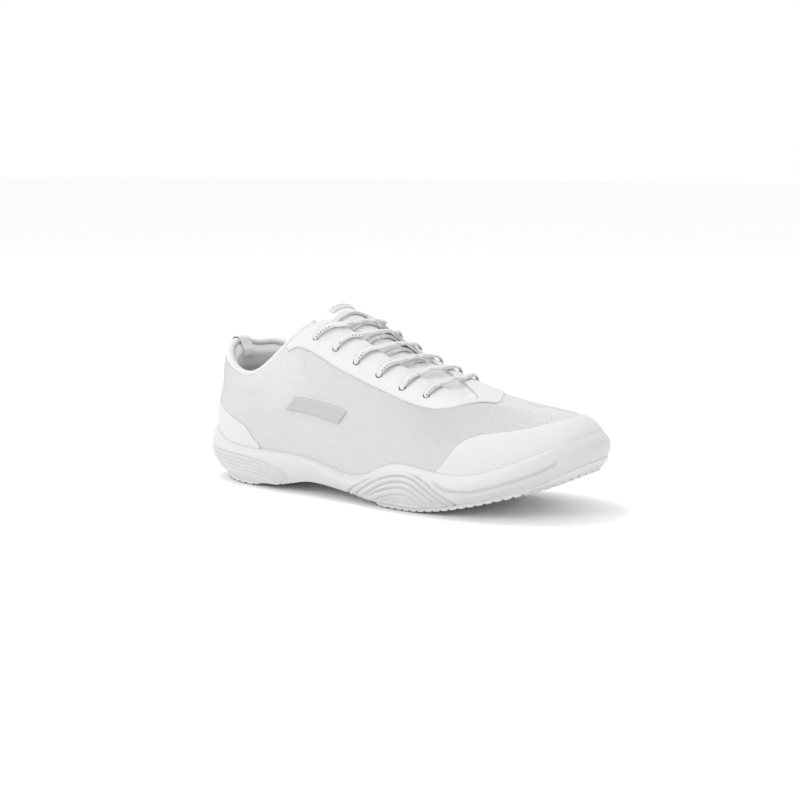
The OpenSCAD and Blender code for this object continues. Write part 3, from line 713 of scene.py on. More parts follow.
def quarter_material():
    """Fine diagonal weave: raised dots in two crossing rows, a shade darker in between."""
    g = Graph("quarter_fabric")
    a = g.wave(g.add(g.u, g.v), 2.7)
    b = g.wave(g.math("SUBTRACT", g.u, g.v), 1.9)
    dots = g.blend(g.mul(a, b), 0.5, 0.5)
    yarn = g.blend(g.wave(g.add(g.u, g.v), 0.36), 0.16, dots)
    height = g.blend(g.noise(900.0, 2.0), 0.25, yarn)
    g.bump(height, 0.0004)
    colour = g.mix(g.blend(dots, -0.32, 0.30), tones(g, (.90, .90, .902), (.87, .871, .873)),
                   (.66, .665, .67))
    return g.finish(colour, g.blend(dots, -0.12, 0.82), 0.3, 0.25)


def film_material():
    """Smooth pressed film with a faint grain and a low sheen."""
    g = Graph("overlay_film")
    grain = g.blend(g.noise(1500.0, 4.0), 0.5, g.mul(g.noise(160.0, 2.0), 0.6))
    g.bump(grain, 0.00006)
    return g.finish(tones(g, (.665, .665, .666), (.635, .637, .639)),
                    g.blend(g.noise(70.0), 0.22, 0.42), 0.34)


def foam_material():
    """Moulded foam: matte skin, fine pores, painted shade darkening the grooves."""
    g = Graph("midsole_foam")
    g.bump(g.blend(g.noise(2200.0, 3.0), 0.6, g.mul(g.noise(240.0, 2.0), 0.5)), 0.00005)
    clean = tones(g, (.64, .64, .638), (.605, .606, .604))
    # painted shade: the foam turns to the darker (.60, .595, .58) in grooves and creases, where
    # Pointiness falls
    colour = g.mix(g.painted_groove_shade(), (.60, .595, .58), clean)
    return g.finish(colour, g.blend(g.noise(120.0), 0.18, 0.48), 0.4, 0, 0.08)


def rubber_material():
    g = Graph("outsole_rubber")
    g.bump(g.noise(1400.0, 3.0), 0.00007)
    scuff = g.blend(g.noise(60.0, 4.0, 0.7), 1.8, -0.75)
    scuff = g.math("MINIMUM", g.math("MAXIMUM", scuff, 0.0), 0.6)
    colour = g.mix(scuff, tones(g, (.70, .70, .69), (.65, .65, .64)), (.54, .535, .52))
    return g.finish(colour, g.blend(g.noise(90.0), 0.2, 0.52), 0.4)


def knit_material(name, light, dark, pitch=0.9, sheen=0.3):
    """Small V-shaped knit stitches in columns."""
    g = Graph(name)
    column = g.math("ABSOLUTE", g.wave(g.u, pitch * 2))
    loops = g.wave(g.blend(column, -0.8 * pitch, g.v), pitch)
    height = g.blend(loops, 0.35, column)
    g.bump(g.blend(g.noise(1200.0, 2.0), 0.3, height), 0.00013)
    shade = g.blend(height, -0.22, 0.34)
    colour = g.mix(shade, tones(g, light, darker(light, 0.94)), dark)
    return g.finish(colour, 0.88, 0.2, sheen)


def rib_material():
    """Tongue mesh: rows of small open holes between the raised ribs."""
    g = Graph("tongue_fabric")
    a = g.wave(g.u, 1.0)
    b = g.wave(g.v, 0.75)
    hole = g.math("MAXIMUM", g.blend(g.mul(a, b), 2.2, -1.1), 0.0)
    g.bump(g.blend(g.noise(1000.0, 2.0), 0.3, g.mul(hole, -0.8)), 0.0002)
    colour = g.mix(g.mul(hole, 0.55), tones(g, (.90, .90, .905), (.86, .865, .87)), (.48, .49, .50))
    return g.finish(colour, 0.85, 0.25, 0.3)


def webbing_material(name, light):
    """Narrow woven tape: plain weave of warp and weft."""
    g = Graph(name)
    warp = g.wave(g.u, 0.8)
    weft = g.wave(g.v, 0.6)
    height = g.blend(g.mul(warp, weft), 0.5, 0.5)
    g.bump(g.blend(g.noise(1100.0, 2.0), 0.3, height), 0.00014)
    colour = g.mix(g.blend(height, -0.22, 0.24), tones(g, light, darker(light, 0.94)),
                   (.58, .59, .60))
    return g.finish(colour, 0.84, 0.25, 0.25)


def lace_material():
    """Braided lace: slanting plaits, with small grey tracer flecks along the edges."""
    g = Graph("lace_yarn")
    slant = g.mul(g.v, 0.9)
    plait = g.mul(g.wave(g.add(g.u, slant), 1.1), g.wave(g.math("SUBTRACT", g.u, slant), 1.1))
    g.bump(g.blend(g.noise(1600.0, 2.0), 0.4, g.blend(plait, 0.5, 0.5)), 0.0003)
    fleck = g.math("GREATER_THAN", g.noise(150.0, 1.0), 0.47)
    for value, least in ((g.wave(g.u, 1.9), 0.25), (g.wave(g.v, 2.1), 0.35)):
        fleck = g.mul(fleck, g.math("GREATER_THAN", value, least))
    shade = g.mix(g.blend(plait, -0.18, 0.18), tones(g, (.88, .88, .875), (.84, .842, .84)),
                  (.48, .49, .50))
    return g.finish(g.mix(g.mul(fleck, 0.8), shade, (.20, .21, .23)), 0.8, 0.25, 0.3)


def cell_material(name, light):
    """Cut open-cell foam."""
    g = Graph(name)
    n = g.node("ShaderNodeTexVoronoi")
    g.link(g.place, n.inputs["Vector"])
    n.inputs["Scale"].default_value = 900.0
    g.bump(n.outputs["Distance"], 0.0002)
    return g.finish(g.mix(n.outputs["Distance"], light, darker(light, 0.8)), 0.9, 0.2)


def board_material(name, light):
    """Pressed fibre sheet."""
    g = Graph(name)
    fibre = g.noise(650.0, 5.0, 0.7)
    g.bump(fibre, 0.0001)
    return g.finish(g.mix(fibre, light, darker(light, 0.85)), 0.85, 0.25)


def gloss_material(name, light, rough):
    g = Graph(name)
    g.bump(g.noise(500.0, 2.0), 0.00003)
    return g.finish(tones(g, light, darker(light, 0.96)),
                    g.blend(g.noise(90.0), 0.12, rough), 0.5)


QUARTER, FILM = quarter_material(), film_material()
FOAM, RUBBER = foam_material(), rubber_material()
LINING = knit_material("lining_fabric", (.92, .92, .925), (.76, .77, .78))
BINDING = knit_material("binding_fabric", (.84, .84, .845), (.66, .67, .68), 0.55)
SOCK = knit_material("sock_fabric", (.72, .72, .725), (.50, .51, .52), 0.7)
BACKING = webbing_material("backing_fabric", (.72, .72, .72))
TAPE = webbing_material("tape_fabric", (.88, .88, .885))
MESH, LACE = rib_material(), lace_material()
PAD = cell_material("padding", (.76, .74, .66))
SOCK_FOAM = cell_material("sock_foam", (.84, .84, .83))
BOARD = board_material("board", (.78, .77, .73))
STIFF = board_material("stiffener", (.74, .74, .72))
EMBLEM = gloss_material("emblem_film", (.46, .465, .475), 0.34)
BADGE = gloss_material("badge_film", (.62, .625, .635), 0.40)
TIP = gloss_material("aglet_plastic", (.78, .78, .78), 0.14)
THREAD = webbing_material("thread", (.74, .74, .745))


# ---- sole
HEEL_RIB_PITCH = 2.6
HEEL_RIB_LOW = 10.0
# x, fall of a rib below its start
HEEL_RIB_DROP = [[20, 0], [44, 1.1], [60, 4.4], [72, 9.4], [84, 18]]
GROOVE_W = 0.72             # half width of ribs and waves
HEEL_RIB_CUT, WAVE_CUT, LEAF_CUT, BAND_CUT = 1.15, 1.35, 1.0, 1.6      # depths
WAVE_TOP_X = 165.0
WAVE_BASE_Z = 4.0
# nested waves, outermost first: x where each begins, height of its crest, x where it ends
WAVES = [[117, 24.6, 199], [124, 22.2, 193], [131, 18.9, 187], [133, 15.3, 181], [141, 11.0, 176]]
BAND_GROOVE = [[183, 22], [190, 18], [196, 16.1], [204, 16], [212, 17.6], [222, 20.7], [232, 24.4],
               [241, 28.2], [247, 31.4], [251, 34.5]]                  # x, z under the toe band


def groove(distance, width, depth):
    """Rounded groove: depth at its middle, nothing past about twice the width."""
    return -depth * np.exp(-(distance / width) ** 2)


def wave_line(x, wave):
    start, crest, end = wave
    t = np.where(x < WAVE_TOP_X, (x - start) / (WAVE_TOP_X - start), (end - x) / (end - WAVE_TOP_X))
    return WAVE_BASE_Z + (crest - WAVE_BASE_Z) * np.sin(math.pi / 2 * np.clip(t, 0, 1))


def square_distance(x, z, line):
    """Distance of a point from a line z = line(x), measured square to it."""
    slope = line(x + .5) - line(x - .5)
    return (z - line(x)) / np.sqrt(1 + slope**2)


def relief(p, w):
    """Depth of the moulded pattern at points of the cup's outer face."""
    x, z = p[..., 0] / K[0], p[..., 2] / K[2]
    rim_fade = smooth((0.93 - w) / 0.08)
    phase = (z + curve(HEEL_RIB_DROP, x) - HEEL_RIB_LOW) / HEEL_RIB_PITCH
    ribs = groove((phase - np.round(phase)) * HEEL_RIB_PITCH, GROOVE_W, HEEL_RIB_CUT)
    ribs *= window(phase, -.6, 4.6, .4, .4) * smooth((76 - x) / 4)
    result = ribs * rim_fade
    for wave in WAVES:
        d = square_distance(x, z, lambda q: wave_line(q, wave))
        inside = window(x, wave[0] + 1, wave[2] - 1, 3, 3) * rim_fade
        result = result + (groove(d, GROOVE_W, WAVE_CUT) - groove(d + 1.25, .8, .4)) * inside
    leaf = wave_line(x, WAVES[-1]) - z
    pressed = smooth((leaf - .6) / .8) * smooth((z - 3.6) / .8)
    result = result - LEAF_CUT * pressed * window(x, 145, 174, 3, 3)
    d = square_distance(x, z, lambda q: curve(BAND_GROOVE, q))
    inside = window(x, 183, 252, 5, 2)
    result = result + groove(d, 1.0, BAND_CUT) * inside * rim_fade
    return result - groove(d - 2.2, 1.5, .45) * inside * smooth((.97 - w) / .1)


def cup_grid(nu, nw):
    u = np.arange(nu) * NS / nu
    uu, ww = np.meshgrid(u, np.linspace(0, 1, nw), indexing="ij")
    p = wall(uu, ww)
    closed = np.concatenate([p[-1:], p, p[:1]])
    n = unit(np.cross(closed[2:] - closed[:-2], np.gradient(p, axis=1)))
    return u, p + n * relief(p, ww)[..., None]


def stack(name, rings, across):
    """Solid of stacked closed rings [ring][line], closed below and above by lines across."""
    r, nu = rings.shape[:2]
    half = nu // 2
    lines = rings.transpose(1, 0, 2)
    uv = arc_uv(np.concatenate([lines, lines[:1]]), [half // 2, nu - half // 2])
    i, g = np.meshgrid(np.arange(nu), np.arange(r - 1), indexing="ij")
    corners = ((0, 0), (1, 0), (1, 1), (0, 1))
    faces = np.stack([(g + b) * nu + (i + a) % nu for a, b in corners], -1).reshape(-1, 4).tolist()
    uvs = list(np.stack([uv[a, i, g + b] for a, b in corners], 2).reshape(-1, 2))
    verts = [rings.reshape(-1, 3)]
    share = np.arange(1, across)[None, :, None] / across
    for ring, turn in ((0, 1), (r - 1, -1)):
        k = np.arange(half + 1)
        index = np.empty((half + 1, across + 1), int)
        index[:, 0], index[:, -1] = k, nu - k
        index[0], index[-1] = 0, half
        index += ring * nu
        inner = sum(len(v) for v in verts) + np.arange((half - 1) * (across - 1))
        index[1:-1, 1:-1] = inner.reshape(half - 1, -1)
        a, b = (rings[ring][q][:, None] for q in (k[1:-1], nu - k[1:-1]))
        verts.append((a * (1 - share) + b * share).reshape(-1, 3))
        quads = np.stack([index[:-1, :-1], index[:-1, 1:], index[1:, 1:], index[1:, :-1]], -1)
        for quad in quads.reshape(-1, 4).tolist():
            corner = list(dict.fromkeys(quad))
            if len(corner) > 2:
                faces.append(corner[::turn])
    verts = np.concatenate(verts)
    uvs += [verts[v][:2] for f in faces[nu * (r - 1):] for v in f]
    return build(name, verts, faces, uvs)


def midsole():
    nu = 912
    u, face = cup_grid(nu, 76)
    v = reach(u)
    top, seat = face[:, -1], on(u, v + .012, seat_d(u) - .05)
    up = unit(rise(u, v))
    rings = [face[:, j] for j in range(face.shape[1])]
    for a in np.linspace(0, math.pi / 2, 8)[1:]:
        rings.append(seat + (top - seat) * math.cos(a) + up * math.sin(a) * .55)
    for f in (.3, .6, 1):
        p = on(u, lerp(v, .01, f), seat_d(u))
        p[:, 2] = np.where(f == 1, around(ROWS[0], u)[:, 2] - CLEAR, p[:, 2])
        rings.append(p)
    obj = stack("midsole_cup", np.array(rings), 24)
    return finish(obj, "midsole_foam", FOAM, "midsole")


TREAD_PITCH = 4.6
TREAD_DEPTH = 1.3
WRAP = (8.0, 11.0)          # stations where the toe wrap begins and ends


def tread(name, start, end, channels, chevron, node):
    """Rubber pad under the sole between two stations: bars cut by slanting and lengthwise
    grooves."""
    run_length = abs(low_edge(np.float64(end))[0] - low_edge(np.float64(start))[0])
    bars = round(run_length / TREAD_PITCH)
    lines = [(lerp(start, end, (k + f) / bars), cut) for k in range(bars)
             for f, cut in ((.02, 0), (.62, 0), (.70, 1), (.94, 1))] + [(end, 0)]
    lines, cut_lines = np.array(lines).T
    marks = [(0, 0)]
    for c in channels:
        marks += [(c - .022, 0), (c - .012, 1), (c + .012, 1), (c + .022, 0)]
    marks += [(1, 0)]
    m, cut_m = [], []
    for (a, da), (b, db) in zip(marks[:-1], marks[1:]):
        n = max(1, round((b - a) / .05))
        m += [lerp(a, b, x / n) for x in range(n)]
        cut_m += [lerp(da, db, x / n) for x in range(n)]
    m, cut_m = np.array(m + [1]), np.array(cut_m + [0])
    zig = np.abs(((m * 2.5) % 1) - .5) * 2 * chevron
    uu = np.clip(lines[:, None] + zig[None] * (end - start) / bars, start, end)
    p = lerp(low_edge(uu), low_edge(NS - uu), lerp(.012, .988, m)[None, :, None])
    depth = np.maximum(cut_lines[:, None], cut_m[None]) * TREAD_DEPTH
    edge = np.minimum(m, 1 - m)[None] * np.ones_like(depth)
    depth = depth + .8 * (1 - rounded(edge, .012)) * (depth < .1)
    from_end = np.minimum(uu - start, end - uu) / (end - start) * run_length
    thick = OUTSOLE_T * (.06 + .94 * smooth(from_end / 9))
    top, bottom = p.copy(), p.copy()
    top[..., 2] -= .1
    bottom[..., 2] -= .1 + thick - depth * thick / OUTSOLE_T
    return finish(shell(name, top, bottom, sharp=30), "outsole_rubber", RUBBER, node)


def toe_wrap():
    """The forefoot rubber carried a little way up the front of the toe."""
    u = np.linspace(*WRAP, 120)
    high = .20 * window(u, *WRAP, .9, .9) + .02
    w = high[:, None] * eased(14)[None]
    uu = np.repeat(u[:, None], 14, 1)
    p = wall(uu, w)
    n = unit(np.cross(np.gradient(p, axis=0), np.gradient(p, axis=1)))
    edge = np.minimum((high[:, None] - w) * 34, np.minimum(uu - WRAP[0], WRAP[1] - uu) * 30)
    t = 1.0 * rounded(edge, 1.0)[..., None]
    obj = shell("outsole_toe_wrap", p + n * t, p - n * .3)
    return finish(obj, "outsole_rubber", RUBBER)


# ---- upper
WEAVE_FROM = (5, 14)        # stations that the weave is laid out from, on either side


def upper_fabric():
    n, m = 532, 64
    u = np.arange(n) * NS / n
    under_eyestay = smooth((side(u) - COLLAR_END) / .5)
    top = lerp(.998, np.minimum(eye_edge(u) + .03, .99), under_eyestay)
    uu, vv = between(u, .01, top, np.linspace(0, 1, m))
    base = surf(uu, vv)
    d = .22 * ripple(base, 14, .4) * window(vv, .2, 1, .2, .1)
    d = d + .9 * collar_share(uu) * window(vv, .72, .985, .12, .03)
    outer = base + d[..., None] * out(uu, vv)
    inner = on(uu, vv, d - FABRIC_T)
    refs = [round(n * station / NS) for station in WEAVE_FROM]
    obj = shell("upper_quarters", outer, inner, True, refs)
    return finish(obj, "quarter_fabric", QUARTER, "upper_fabric")


def film(name, u, low, high, rows=30, round_low=False):
    """Pressed film on the upper from share low to share high at each line u, with soft edges."""
    uu, vv = between(u, low, high, eased(rows))
    r = norm(rise(uu, vv))
    edge = np.minimum(uu - uu.min(), uu.max() - uu) * norm(run(uu, vv))
    edge = np.minimum(edge, (high[:, None] - vv) * r)
    if round_low:
        edge = np.minimum(edge, (vv - low[:, None]) * r)
    t = OVERLAY_T * np.maximum(rounded(edge, 1.1), .04)
    return shell(name, on(uu, vv, CLEAR + t), on(uu, vv, CLEAR - .05))


def dense(a, b, n):
    """n stations from a to b, closer together near both ends."""
    return lerp(np.linspace(a, b, n), lerp(a, b, eased(n)), .6)


def overlay(start, end, lines, node):
    """Film over the toe or the heel, tucked in behind the cup."""
    u = dense(start, end, lines)
    low = reach(u) * .6
    high = np.maximum(curve(OVERLAY_EDGE, side(u)), low + .02)
    return finish(film(node + "_film", u, low, high), "overlay_film", FILM, node)


def punch(obj):
    """Cuts the lace holes through a piece with one boolean."""
    b = bmesh.new()
    for k in range(len(EYELETS)):
        for s in (0, 1):
            u, v = np.float64(flip(EYELETS[k][s], s)), np.float64(EYELETS[k][2 + s])
            c, n = surf(u, v), out(u, v)
            turn = Vector((0, 0, 1)).rotation_difference(Vector(n)).to_matrix().to_4x4()
            turn.translation = Vector((c - ORIGIN) * MM)
            bmesh.ops.create_cone(b, cap_ends=True, segments=40, radius1=EYELET_D / 2 * MM,
                                  radius2=EYELET_D / 2 * MM, depth=8 * MM, matrix=turn)
    mesh = bpy.data.meshes.new("punches")
    b.to_mesh(mesh)
    b.free()
    cutter = bpy.data.objects.new("punches", mesh)
    bpy.context.scene.collection.objects.link(cutter)
    cut = obj.modifiers.new("holes", "BOOLEAN")
    cut.operation = "DIFFERENCE"
    cut.solver = "EXACT"
    cut.object = cutter
    bpy.context.view_layer.update()
    graph = bpy.context.evaluated_depsgraph_get()
    result = bpy.data.meshes.new_from_object(obj.evaluated_get(graph))
    obj.modifiers.clear()
    obj.data = result
    bpy.data.objects.remove(cutter)
    obj.data.set_sharp_from_angle(angle=math.radians(38))
    return obj


def eyestay():
    u = dense(COLLAR_END, NS - COLLAR_END, 330)
    obj = film("eyestay_film", u, eye_edge(u), np.full(u.shape, .999), 40, True)
    return finish(punch(obj), "overlay_film", FILM, "eyestay")


def eyestay_backing():
    u = np.linspace(COLLAR_END + .02, NS - COLLAR_END - .02, 260)
    low = np.minimum(eye_edge(u) + .035, .99)
    uu, vv = between(u, low, .997, np.linspace(0, 1, 24))
    obj = shell("eyestay_backing_cloth", on(uu, vv, 0), on(uu, vv, -FABRIC_T))
    return finish(punch(obj), "backing_fabric", BACKING, "eyestay_backing")


def lining():
    n, m = 456, 56
    u = np.arange(n) * NS / n
    top = np.where(side(u) <= COLLAR_END, .995, np.minimum(eye_edge(u), .97))
    uu, vv = between(u, .01, top, np.linspace(0, 1, m))
    d = lining_at(uu, vv)
    folds = np.exp(-((side(uu) - 2.2) / 1.3) ** 2) * window(vv, .3, .9, .2, .2)
    d = d + .5 * folds * np.sin(uu * 7 + 2 * np.sin(vv * 5))
    refs = [round(n * station / NS) for station in WEAVE_FROM]
    obj = shell("upper_lining_knit", on(uu, vv, d), on(uu, vv, d - LINING_T), True, refs)
    return finish(obj, "lining_fabric", LINING, "upper_lining")


def collar_padding():
    u = np.linspace(-COLLAR_END, COLLAR_END, 200)
    e = eye_edge(u)
    uu, vv = between(u, e, .99, eased(26))
    p = pad(uu, vv)
    edge = np.minimum(vv - e[:, None], .99 - vv) * norm(rise(uu, vv))
    t = np.maximum(rounded(edge, 2.5), .15)
    mid = BEHIND - p / 2
    obj = shell("collar_padding", on(uu, vv, mid + p / 2 * t), on(uu, vv, mid - p / 2 * t))
    finish(obj, "padding", PAD, "collar_foam")
    return obj


BINDING_END = 5.2


def edge_up(u):
    return unit(np.cross(out(u, 1), run(u, 1)))


def collar_mid(u):
    thick = FABRIC_T + 2 * CLEAR + pad(u, 1) + LINING_T
    return np.where(side(u) >= COLLAR_END, -.9, -thick / 2)


BINDING_SINK = 1.3          # the binding hugs the edge this much lower than its tape is wide


def binding_centre(u):
    centre = on(u, 1, collar_mid(u)) + (BINDING_D / 2 + .4) * edge_up(u)
    return centre - BINDING_SINK * edge_up(u)


def binding():
    u = np.linspace(-BINDING_END, BINDING_END, 240)
    c = binding_centre(u)
    up = unit(out(u, 1))
    thin = rounded(BINDING_END - np.abs(u), .12) * .75 + .25
    wide = (BINDING_D + .9 * collar_share(u)) * thin
    rings = [[c[i], up[i], wide[i], BINDING_D * .98 * thin[i]] for i in range(len(u))]
    obj = tube("collar_binding_roll", rings, 28, sharp=60)
    return finish(obj, "binding_fabric", BINDING, "collar_binding")


COLLAR_SEAM = (0.5, 4.1)        # stations where the seam starts beside the tab, and ends
COLLAR_SEAM_DOWN = 2.2          # below the edge


def collar_seam():
    u = np.linspace(-COLLAR_SEAM[1], COLLAR_SEAM[1], 300)
    v = 1 - COLLAR_SEAM_DOWN / norm(rise(u, 1))
    for label, keep in (("left", u < -COLLAR_SEAM[0]), ("right", u > COLLAR_SEAM[0])):
        obj = stitches("collar_seam_" + label, on(u, v, .05)[keep], out(u, v)[keep])
        finish(obj, "binding_fabric", THREAD)


TAB_HALF = 0.42
TAB_T = 1.0


def tab_line(u, n):
    """Middle line of the pull tab at station u: up the outside, over the roll, down the inside."""
    u = np.float64(u)
    o, e = out(u, np.float64(1)), edge_up(np.array([u]))[0]
    c = binding_centre(np.array([u]))[0]
    radius = BINDING_D / 2 + 1.1
    low_v = lerp(eye_edge(u), 1, .45)
    pts = [point(u, v, OVERLAY_T + .5) for v in np.linspace(low_v, .985, 8)]
    pts += [c + radius * (math.cos(a) * o + math.sin(a) * e)
            for a in np.linspace(.1, math.pi - .1, 14)]
    pts += [point(u, v, float(lining_at(u, v)) - LINING_T - .9) for v in np.linspace(.97, .88, 5)]
    rings = resample([[p, o, 1, 1] for p in pts], 1.0)
    line = np.array([r[0] for r in rings])
    s = walk(line)
    return place(np.linspace(0, s[-1], n), s, line)


def pull_tab():
    n = 90
    u = np.linspace(-TAB_HALF, TAB_HALF, 24)
    mid = np.array([tab_line(x, n) for x in u])
    normal = unit(np.cross(np.gradient(mid, axis=0), np.gradient(mid, axis=1)))
    edge = (TAB_HALF - np.abs(u)) * norm(run(0, 1))
    t = TAB_T / 2 * np.maximum(rounded(edge, .5), .35)[:, None, None]
    obj = shell("heel_pull_tab_tape", mid + normal * t, mid - normal * t)
    finish(obj, "binding_fabric", TAPE, "heel_pull_tab")
    for x, label in ((3, "left"), (20, "right")):
        row = mid[x, 3:24] + normal[x, 3:24] * TAB_T / 2
        seam = stitches("pull_tab_seam_" + label, row, normal[x, 3:24], 1.8, .7, .45)
        finish(seam, "binding_fabric", THREAD)


EMBLEM_AT = (4.55, 0.50)
EMBLEM_SIZE = (34, 11)


def emblem():
    """Plain slanted bar, raised on the outer quarter."""
    wide, high = EMBLEM_SIZE
    a, b = np.meshgrid(2 * eased(60) - 1, 2 * eased(24) - 1, indexing="ij")
    u0, v0 = EMBLEM_AT
    w = (wide * a + .9 * high * b) / 2 / norm(run(u0, v0))
    uu, vv = u0 + w, v0 + high * b / 2 / norm(rise(u0, v0)) - w * .1
    edge = np.minimum((1 - np.abs(a)) * wide, (1 - np.abs(b)) * high) / 2
    d = .2 + .75 * np.maximum(rounded(edge, 1.3), .05) - .25 * smooth((edge - 1.8) / .8)
    obj = shell("side_emblem_bar", on(uu, vv, d), on(uu, vv, .02))
    return finish(obj, "emblem_film", EMBLEM, "side_emblem")


# ---- tongue
RIB_PITCH, RIB_DEPTH = 1.5, 0.26
TIP_T = 0.94               # t where the rows begin to crowd towards the tip


def tongue_pad(t, q):
    return .8 + (TONGUE_PAD_T - .8) * np.minimum(1, t * 2.2) * np.minimum(1, (1 - np.abs(q)) * 3)


def tip_puff(t, q):
    """Extra swelling of the padded free end."""
    return .9 * smooth((t - .84) / .05) * (1 - q**2)


def tongue_grid():
    """t and q, closer together at the free end and at both sides."""
    tip = np.sin(np.linspace(0, math.pi / 2, 16))[1:]
    t = [np.linspace(0, SEWN_T, 12)[:-1], np.linspace(SEWN_T, TIP_T, 420), lerp(TIP_T, 1, tip)]
    q = lerp(np.linspace(1, -1, 72), np.cos(np.linspace(0, math.pi, 72)), .45)
    return np.meshgrid(np.concatenate(t), q, indexing="ij")


def tongue():
    tt, qq = tongue_grid()
    base, normal, a = tongue_mid(tt, qq), tongue_out(tt, qq), np.abs(qq)
    shoulder = 1.1 * smooth((a - .2) / .3) + 1.7 * np.exp(-((a - .5) / .1) ** 2)
    base = base + normal * (shoulder * window(tt, 0, .6, .08, .2))[..., None]
    thick = tongue_pad(tt, qq) + 2 * TONGUE_SKIN_T + .3
    down = np.cumsum(norm(np.gradient(base, axis=0)), 0)
    to_end = down[-1][None] - down
    cross = np.cumsum(norm(np.gradient(base, axis=1)), 1)
    edge = np.minimum(to_end, np.minimum(cross, cross[:, -1:] - cross))
    inset = thick / 2 * (1 - rounded(edge, 2.6))
    ribs = RIB_DEPTH * np.sin(down * 2 * math.pi / RIB_PITCH)
    ribs *= smooth((.9 - a) / .12) * window(tt, .06, .86, .05, .03)
    front = -inset + ribs * (inset < .2) + tip_puff(tt, qq) * smooth(to_end / 3)
    back = inset - thick
    middle = (front + back) / 2

    def layer(name, top, bottom, slot, material, node, weld):
        step = (slice(None), slice(None)) if weld else (slice(None, None, 4), slice(None, None, 2))
        top, bottom = ((base + normal * d[..., None])[step] for d in (top, bottom))
        return finish(shell(name, top, bottom, weld=weld), slot, material, node, body="tongue")

    cover = layer("tongue_cover_mesh", front, np.maximum(front - TONGUE_SKIN_T, middle),
                  "tongue_fabric", MESH, "tongue_cover", True)
    layer("tongue_lining_knit", np.minimum(back + TONGUE_SKIN_T, middle - .02), back,
          "lining_fabric", LINING, "tongue_lining", True)
    foam = layer("tongue_padding", np.maximum(front - TONGUE_SKIN_T - .1, middle + .03),
                 np.minimum(back + TONGUE_SKIN_T + .1, middle - .03), "padding", PAD,
                 "tongue_foam", False)


BADGE_T = (.905, .965)
BADGE_Q = 0.34


def badge():
    """Plain raised patch on the free end of the tongue."""
    a, b = np.meshgrid(eased(40), np.linspace(1, -1, 50), indexing="ij")
    t, q = lerp(BADGE_T[0], BADGE_T[1], a), b * BADGE_Q
    puff = tip_puff(t, q)
    edge = np.minimum(np.minimum(a, 1 - a) * 10, (1 - np.abs(b)) * 8)
    d = puff + .1 + .55 * np.maximum(rounded(edge, 1.2), .05) - .2 * smooth((edge - 1.6) / .6)
    obj = shell("tongue_patch", tongue_on(t, q, d), tongue_on(t, q, puff))
    return finish(obj, "emblem_film", BADGE, "tongue_badge", body="tongue")


# ---- lace
def lace():
    def plait(s, a):
        grain = ripple(np.stack([s + 0 * a, a + 0 * s, s * .3 + a], -1), 4)
        return .05 * np.sin(s * 5.2 + 2 * a) * np.sin(s * 5.2 - 2 * a) + .03 * grain

    obj = tube("shoelace_braid", resample(LACE_PATH, .45), 20, relief=plait, sharp=70)
    return finish(obj, "lace_yarn", LACE, "shoelace")


def aglet(name, tip, before, node):
    """Lace tip: a plastic sleeve pressed round the end, with two crimps."""
    e = unit(tip[0] - before[0])
    rings = []
    for f in np.linspace(0, 1, 40):
        squeeze = 1 - sum(.08 * math.exp(-((f - crimp) / .03) ** 2) for crimp in (.2, .3))
        end = 1 - .35 * max(0, (f - .93) / .07) ** 2 - .2 * max(0, (.04 - f) / .04)
        rings.append([tip[0] + (.1 + 14 * f) * e, tip[1], 2.6 * squeeze * end, 2.4 * squeeze * end])
    return finish(tube(name, rings, 24), "aglet_plastic", TIP, node)


# ---- sockliner
BED_GAP = 0.8               # between the lining and the removable insole


def inside_edge(u):
    p = on(u, .01, LINING_D - LINING_T - BED_GAP)
    p[..., 2] = around(ROWS[0], u)[..., 2]
    return p


def bed(name, top, thick, dish, material, slot, node):
    """Layer on the footbed, a little raised towards its rim."""
    u = dense(.225, 9.28, 150)
    uu, mm = np.meshgrid(u, eased(48), indexing="ij")
    p = lerp(inside_edge(uu), inside_edge(NS - uu), mm[..., None])
    width = norm(p[:, 0] - p[:, -1])[:, None]
    edge = np.minimum(mm, 1 - mm) * width
    rim = dish * (1 - smooth(edge / 14)) * smooth((150 - p[..., 0]) / 80)
    a, b = p.copy(), p.copy()
    a[..., 2] += top + rim - .35 * (1 - rounded(edge, .8))
    b[..., 2] += top - thick + rim * .6
    obj = shell(name, a, b)
    return finish(obj, slot, material, node, body="sockliner")


# ---- stage
AZIMUTH, ELEVATION, ROLL = math.radians(33), math.radians(9), math.radians(-.3)
DISTANCE = 0.9925
LENS = 75.2
SHIFT_RIGHT, SHIFT_UP = 0.0024, 0.0069      # of the aim, in metres


def camera():
    """Outer side and a little of the toe, from just above."""
    sine, cosine, flat = math.sin(AZIMUTH), math.cos(AZIMUTH), math.cos(ELEVATION)
    back = np.array([sine * flat, -cosine * flat, math.sin(ELEVATION)])
    right = np.array([cosine, sine, 0])
    target = ((np.array([135, 0, 50]) * K - ORIGIN) * MM - right * SHIFT_RIGHT
              + np.cross(back, right) * SHIFT_UP)
    cam = bpy.data.objects.new("camera", bpy.data.cameras.new("camera"))
    cam.data.sensor_width = 36
    cam.data.lens = LENS
    cam.data.clip_start = .05
    cam.location = Vector(target + back * DISTANCE)
    cam.rotation_euler = Vector(-back).to_track_quat("-Z", "Y").to_euler()
    cam.rotation_euler.rotate_axis("Z", ROLL)
    bpy.context.scene.collection.objects.link(cam)
    bpy.context.scene.camera = cam


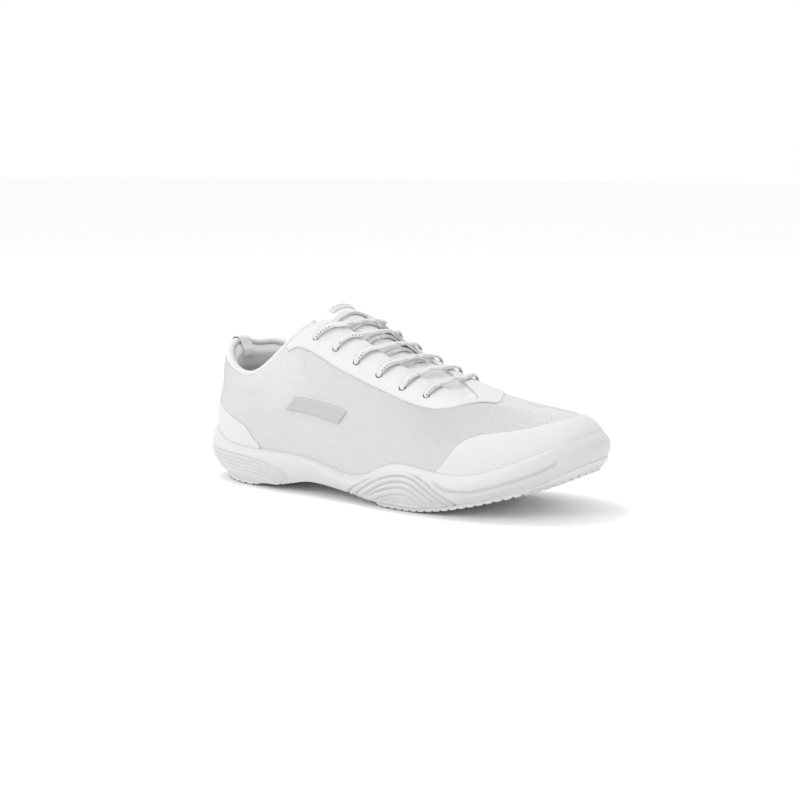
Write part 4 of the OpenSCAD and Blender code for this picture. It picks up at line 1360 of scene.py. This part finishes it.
def floor():
    mesh = bpy.data.meshes.new("floor")
    s = 6.0
    mesh.from_pydata([(-s, -s, 0), (s, -s, 0), (s, s, 0), (-s, s, 0)], [], [(0, 1, 2, 3)])
    obj = bpy.data.objects.new("floor", mesh)
    bpy.context.scene.collection.objects.link(obj)
    g = Graph("floor_paper")
    g.bump(g.noise(300.0), 0.00002)
    paper = g.mix(g.noise(3.0), (.97, .97, .97), (.95, .95, .95))
    obj.data.materials.append(g.finish(paper, 0.7, 0.2))


def light(name, place, size, power):
    lamp = bpy.data.lights.new(name, "AREA")
    lamp.size = size
    lamp.energy = power
    obj = bpy.data.objects.new(name, lamp)
    obj.location = place
    aim = Vector((0, 0, .04)) - Vector(place)
    obj.rotation_euler = aim.to_track_quat("-Z", "Y").to_euler()
    bpy.context.scene.collection.objects.link(obj)


def studio():
    world = bpy.data.worlds.new("studio")
    bpy.context.scene.world = world
    world.use_nodes = True
    world.node_tree.nodes["Background"].inputs[0].default_value = (1, 1, 1, 1)
    world.node_tree.nodes["Background"].inputs[1].default_value = 1.0
    light("top", (-.35, -.1, 1.5), .5, 6)
    light("front", (-.5, -1.3, .9), .6, 5)
    bpy.context.scene.view_settings.view_transform = "Standard"


camera()
studio()
floor()
midsole()
tread("outsole_forefoot_tread", 5.25, 9.3, (.25, .5, .75), .9, "outsole_forefoot")
tread("outsole_heel_tread", .28, 2.75, (.33, .67), .6, "outsole_heel")
toe_wrap()
upper_fabric()
overlay(TOE_START, NS - TOE_START, 300, "toe_overlay")
overlay(-HEEL_END, HEEL_END, 220, "heel_overlay")
eyestay()
eyestay_backing()
lining()
collar_padding()
binding()
collar_seam()
pull_tab()
emblem()
tongue()
badge()
lace()
aglet("aglet_tip_inner", INNER_TAIL[0], INNER_TAIL[1], "aglet_inner")
aglet("aglet_tip_outer", OUTER_TAIL[-1], OUTER_TAIL[-2], "aglet_outer")
bed("sockliner_foam_bed", BOARD_T + SOCK_T + .3, SOCK_T, .5, SOCK_FOAM, "sock_foam",
    "sockliner_foam")
bed("sockliner_cover_cloth", BOARD_T + SOCK_T + SOCK_COVER_T + .35, SOCK_COVER_T, .7, SOCK,
    "sock_fabric", "sockliner_cover")
for node, material in (("strobel_board", BOARD), ("toe_puff", STIFF), ("heel_counter", STIFF)):
    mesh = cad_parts[node].data
    mesh.materials.clear()
    mesh.materials.append(material)
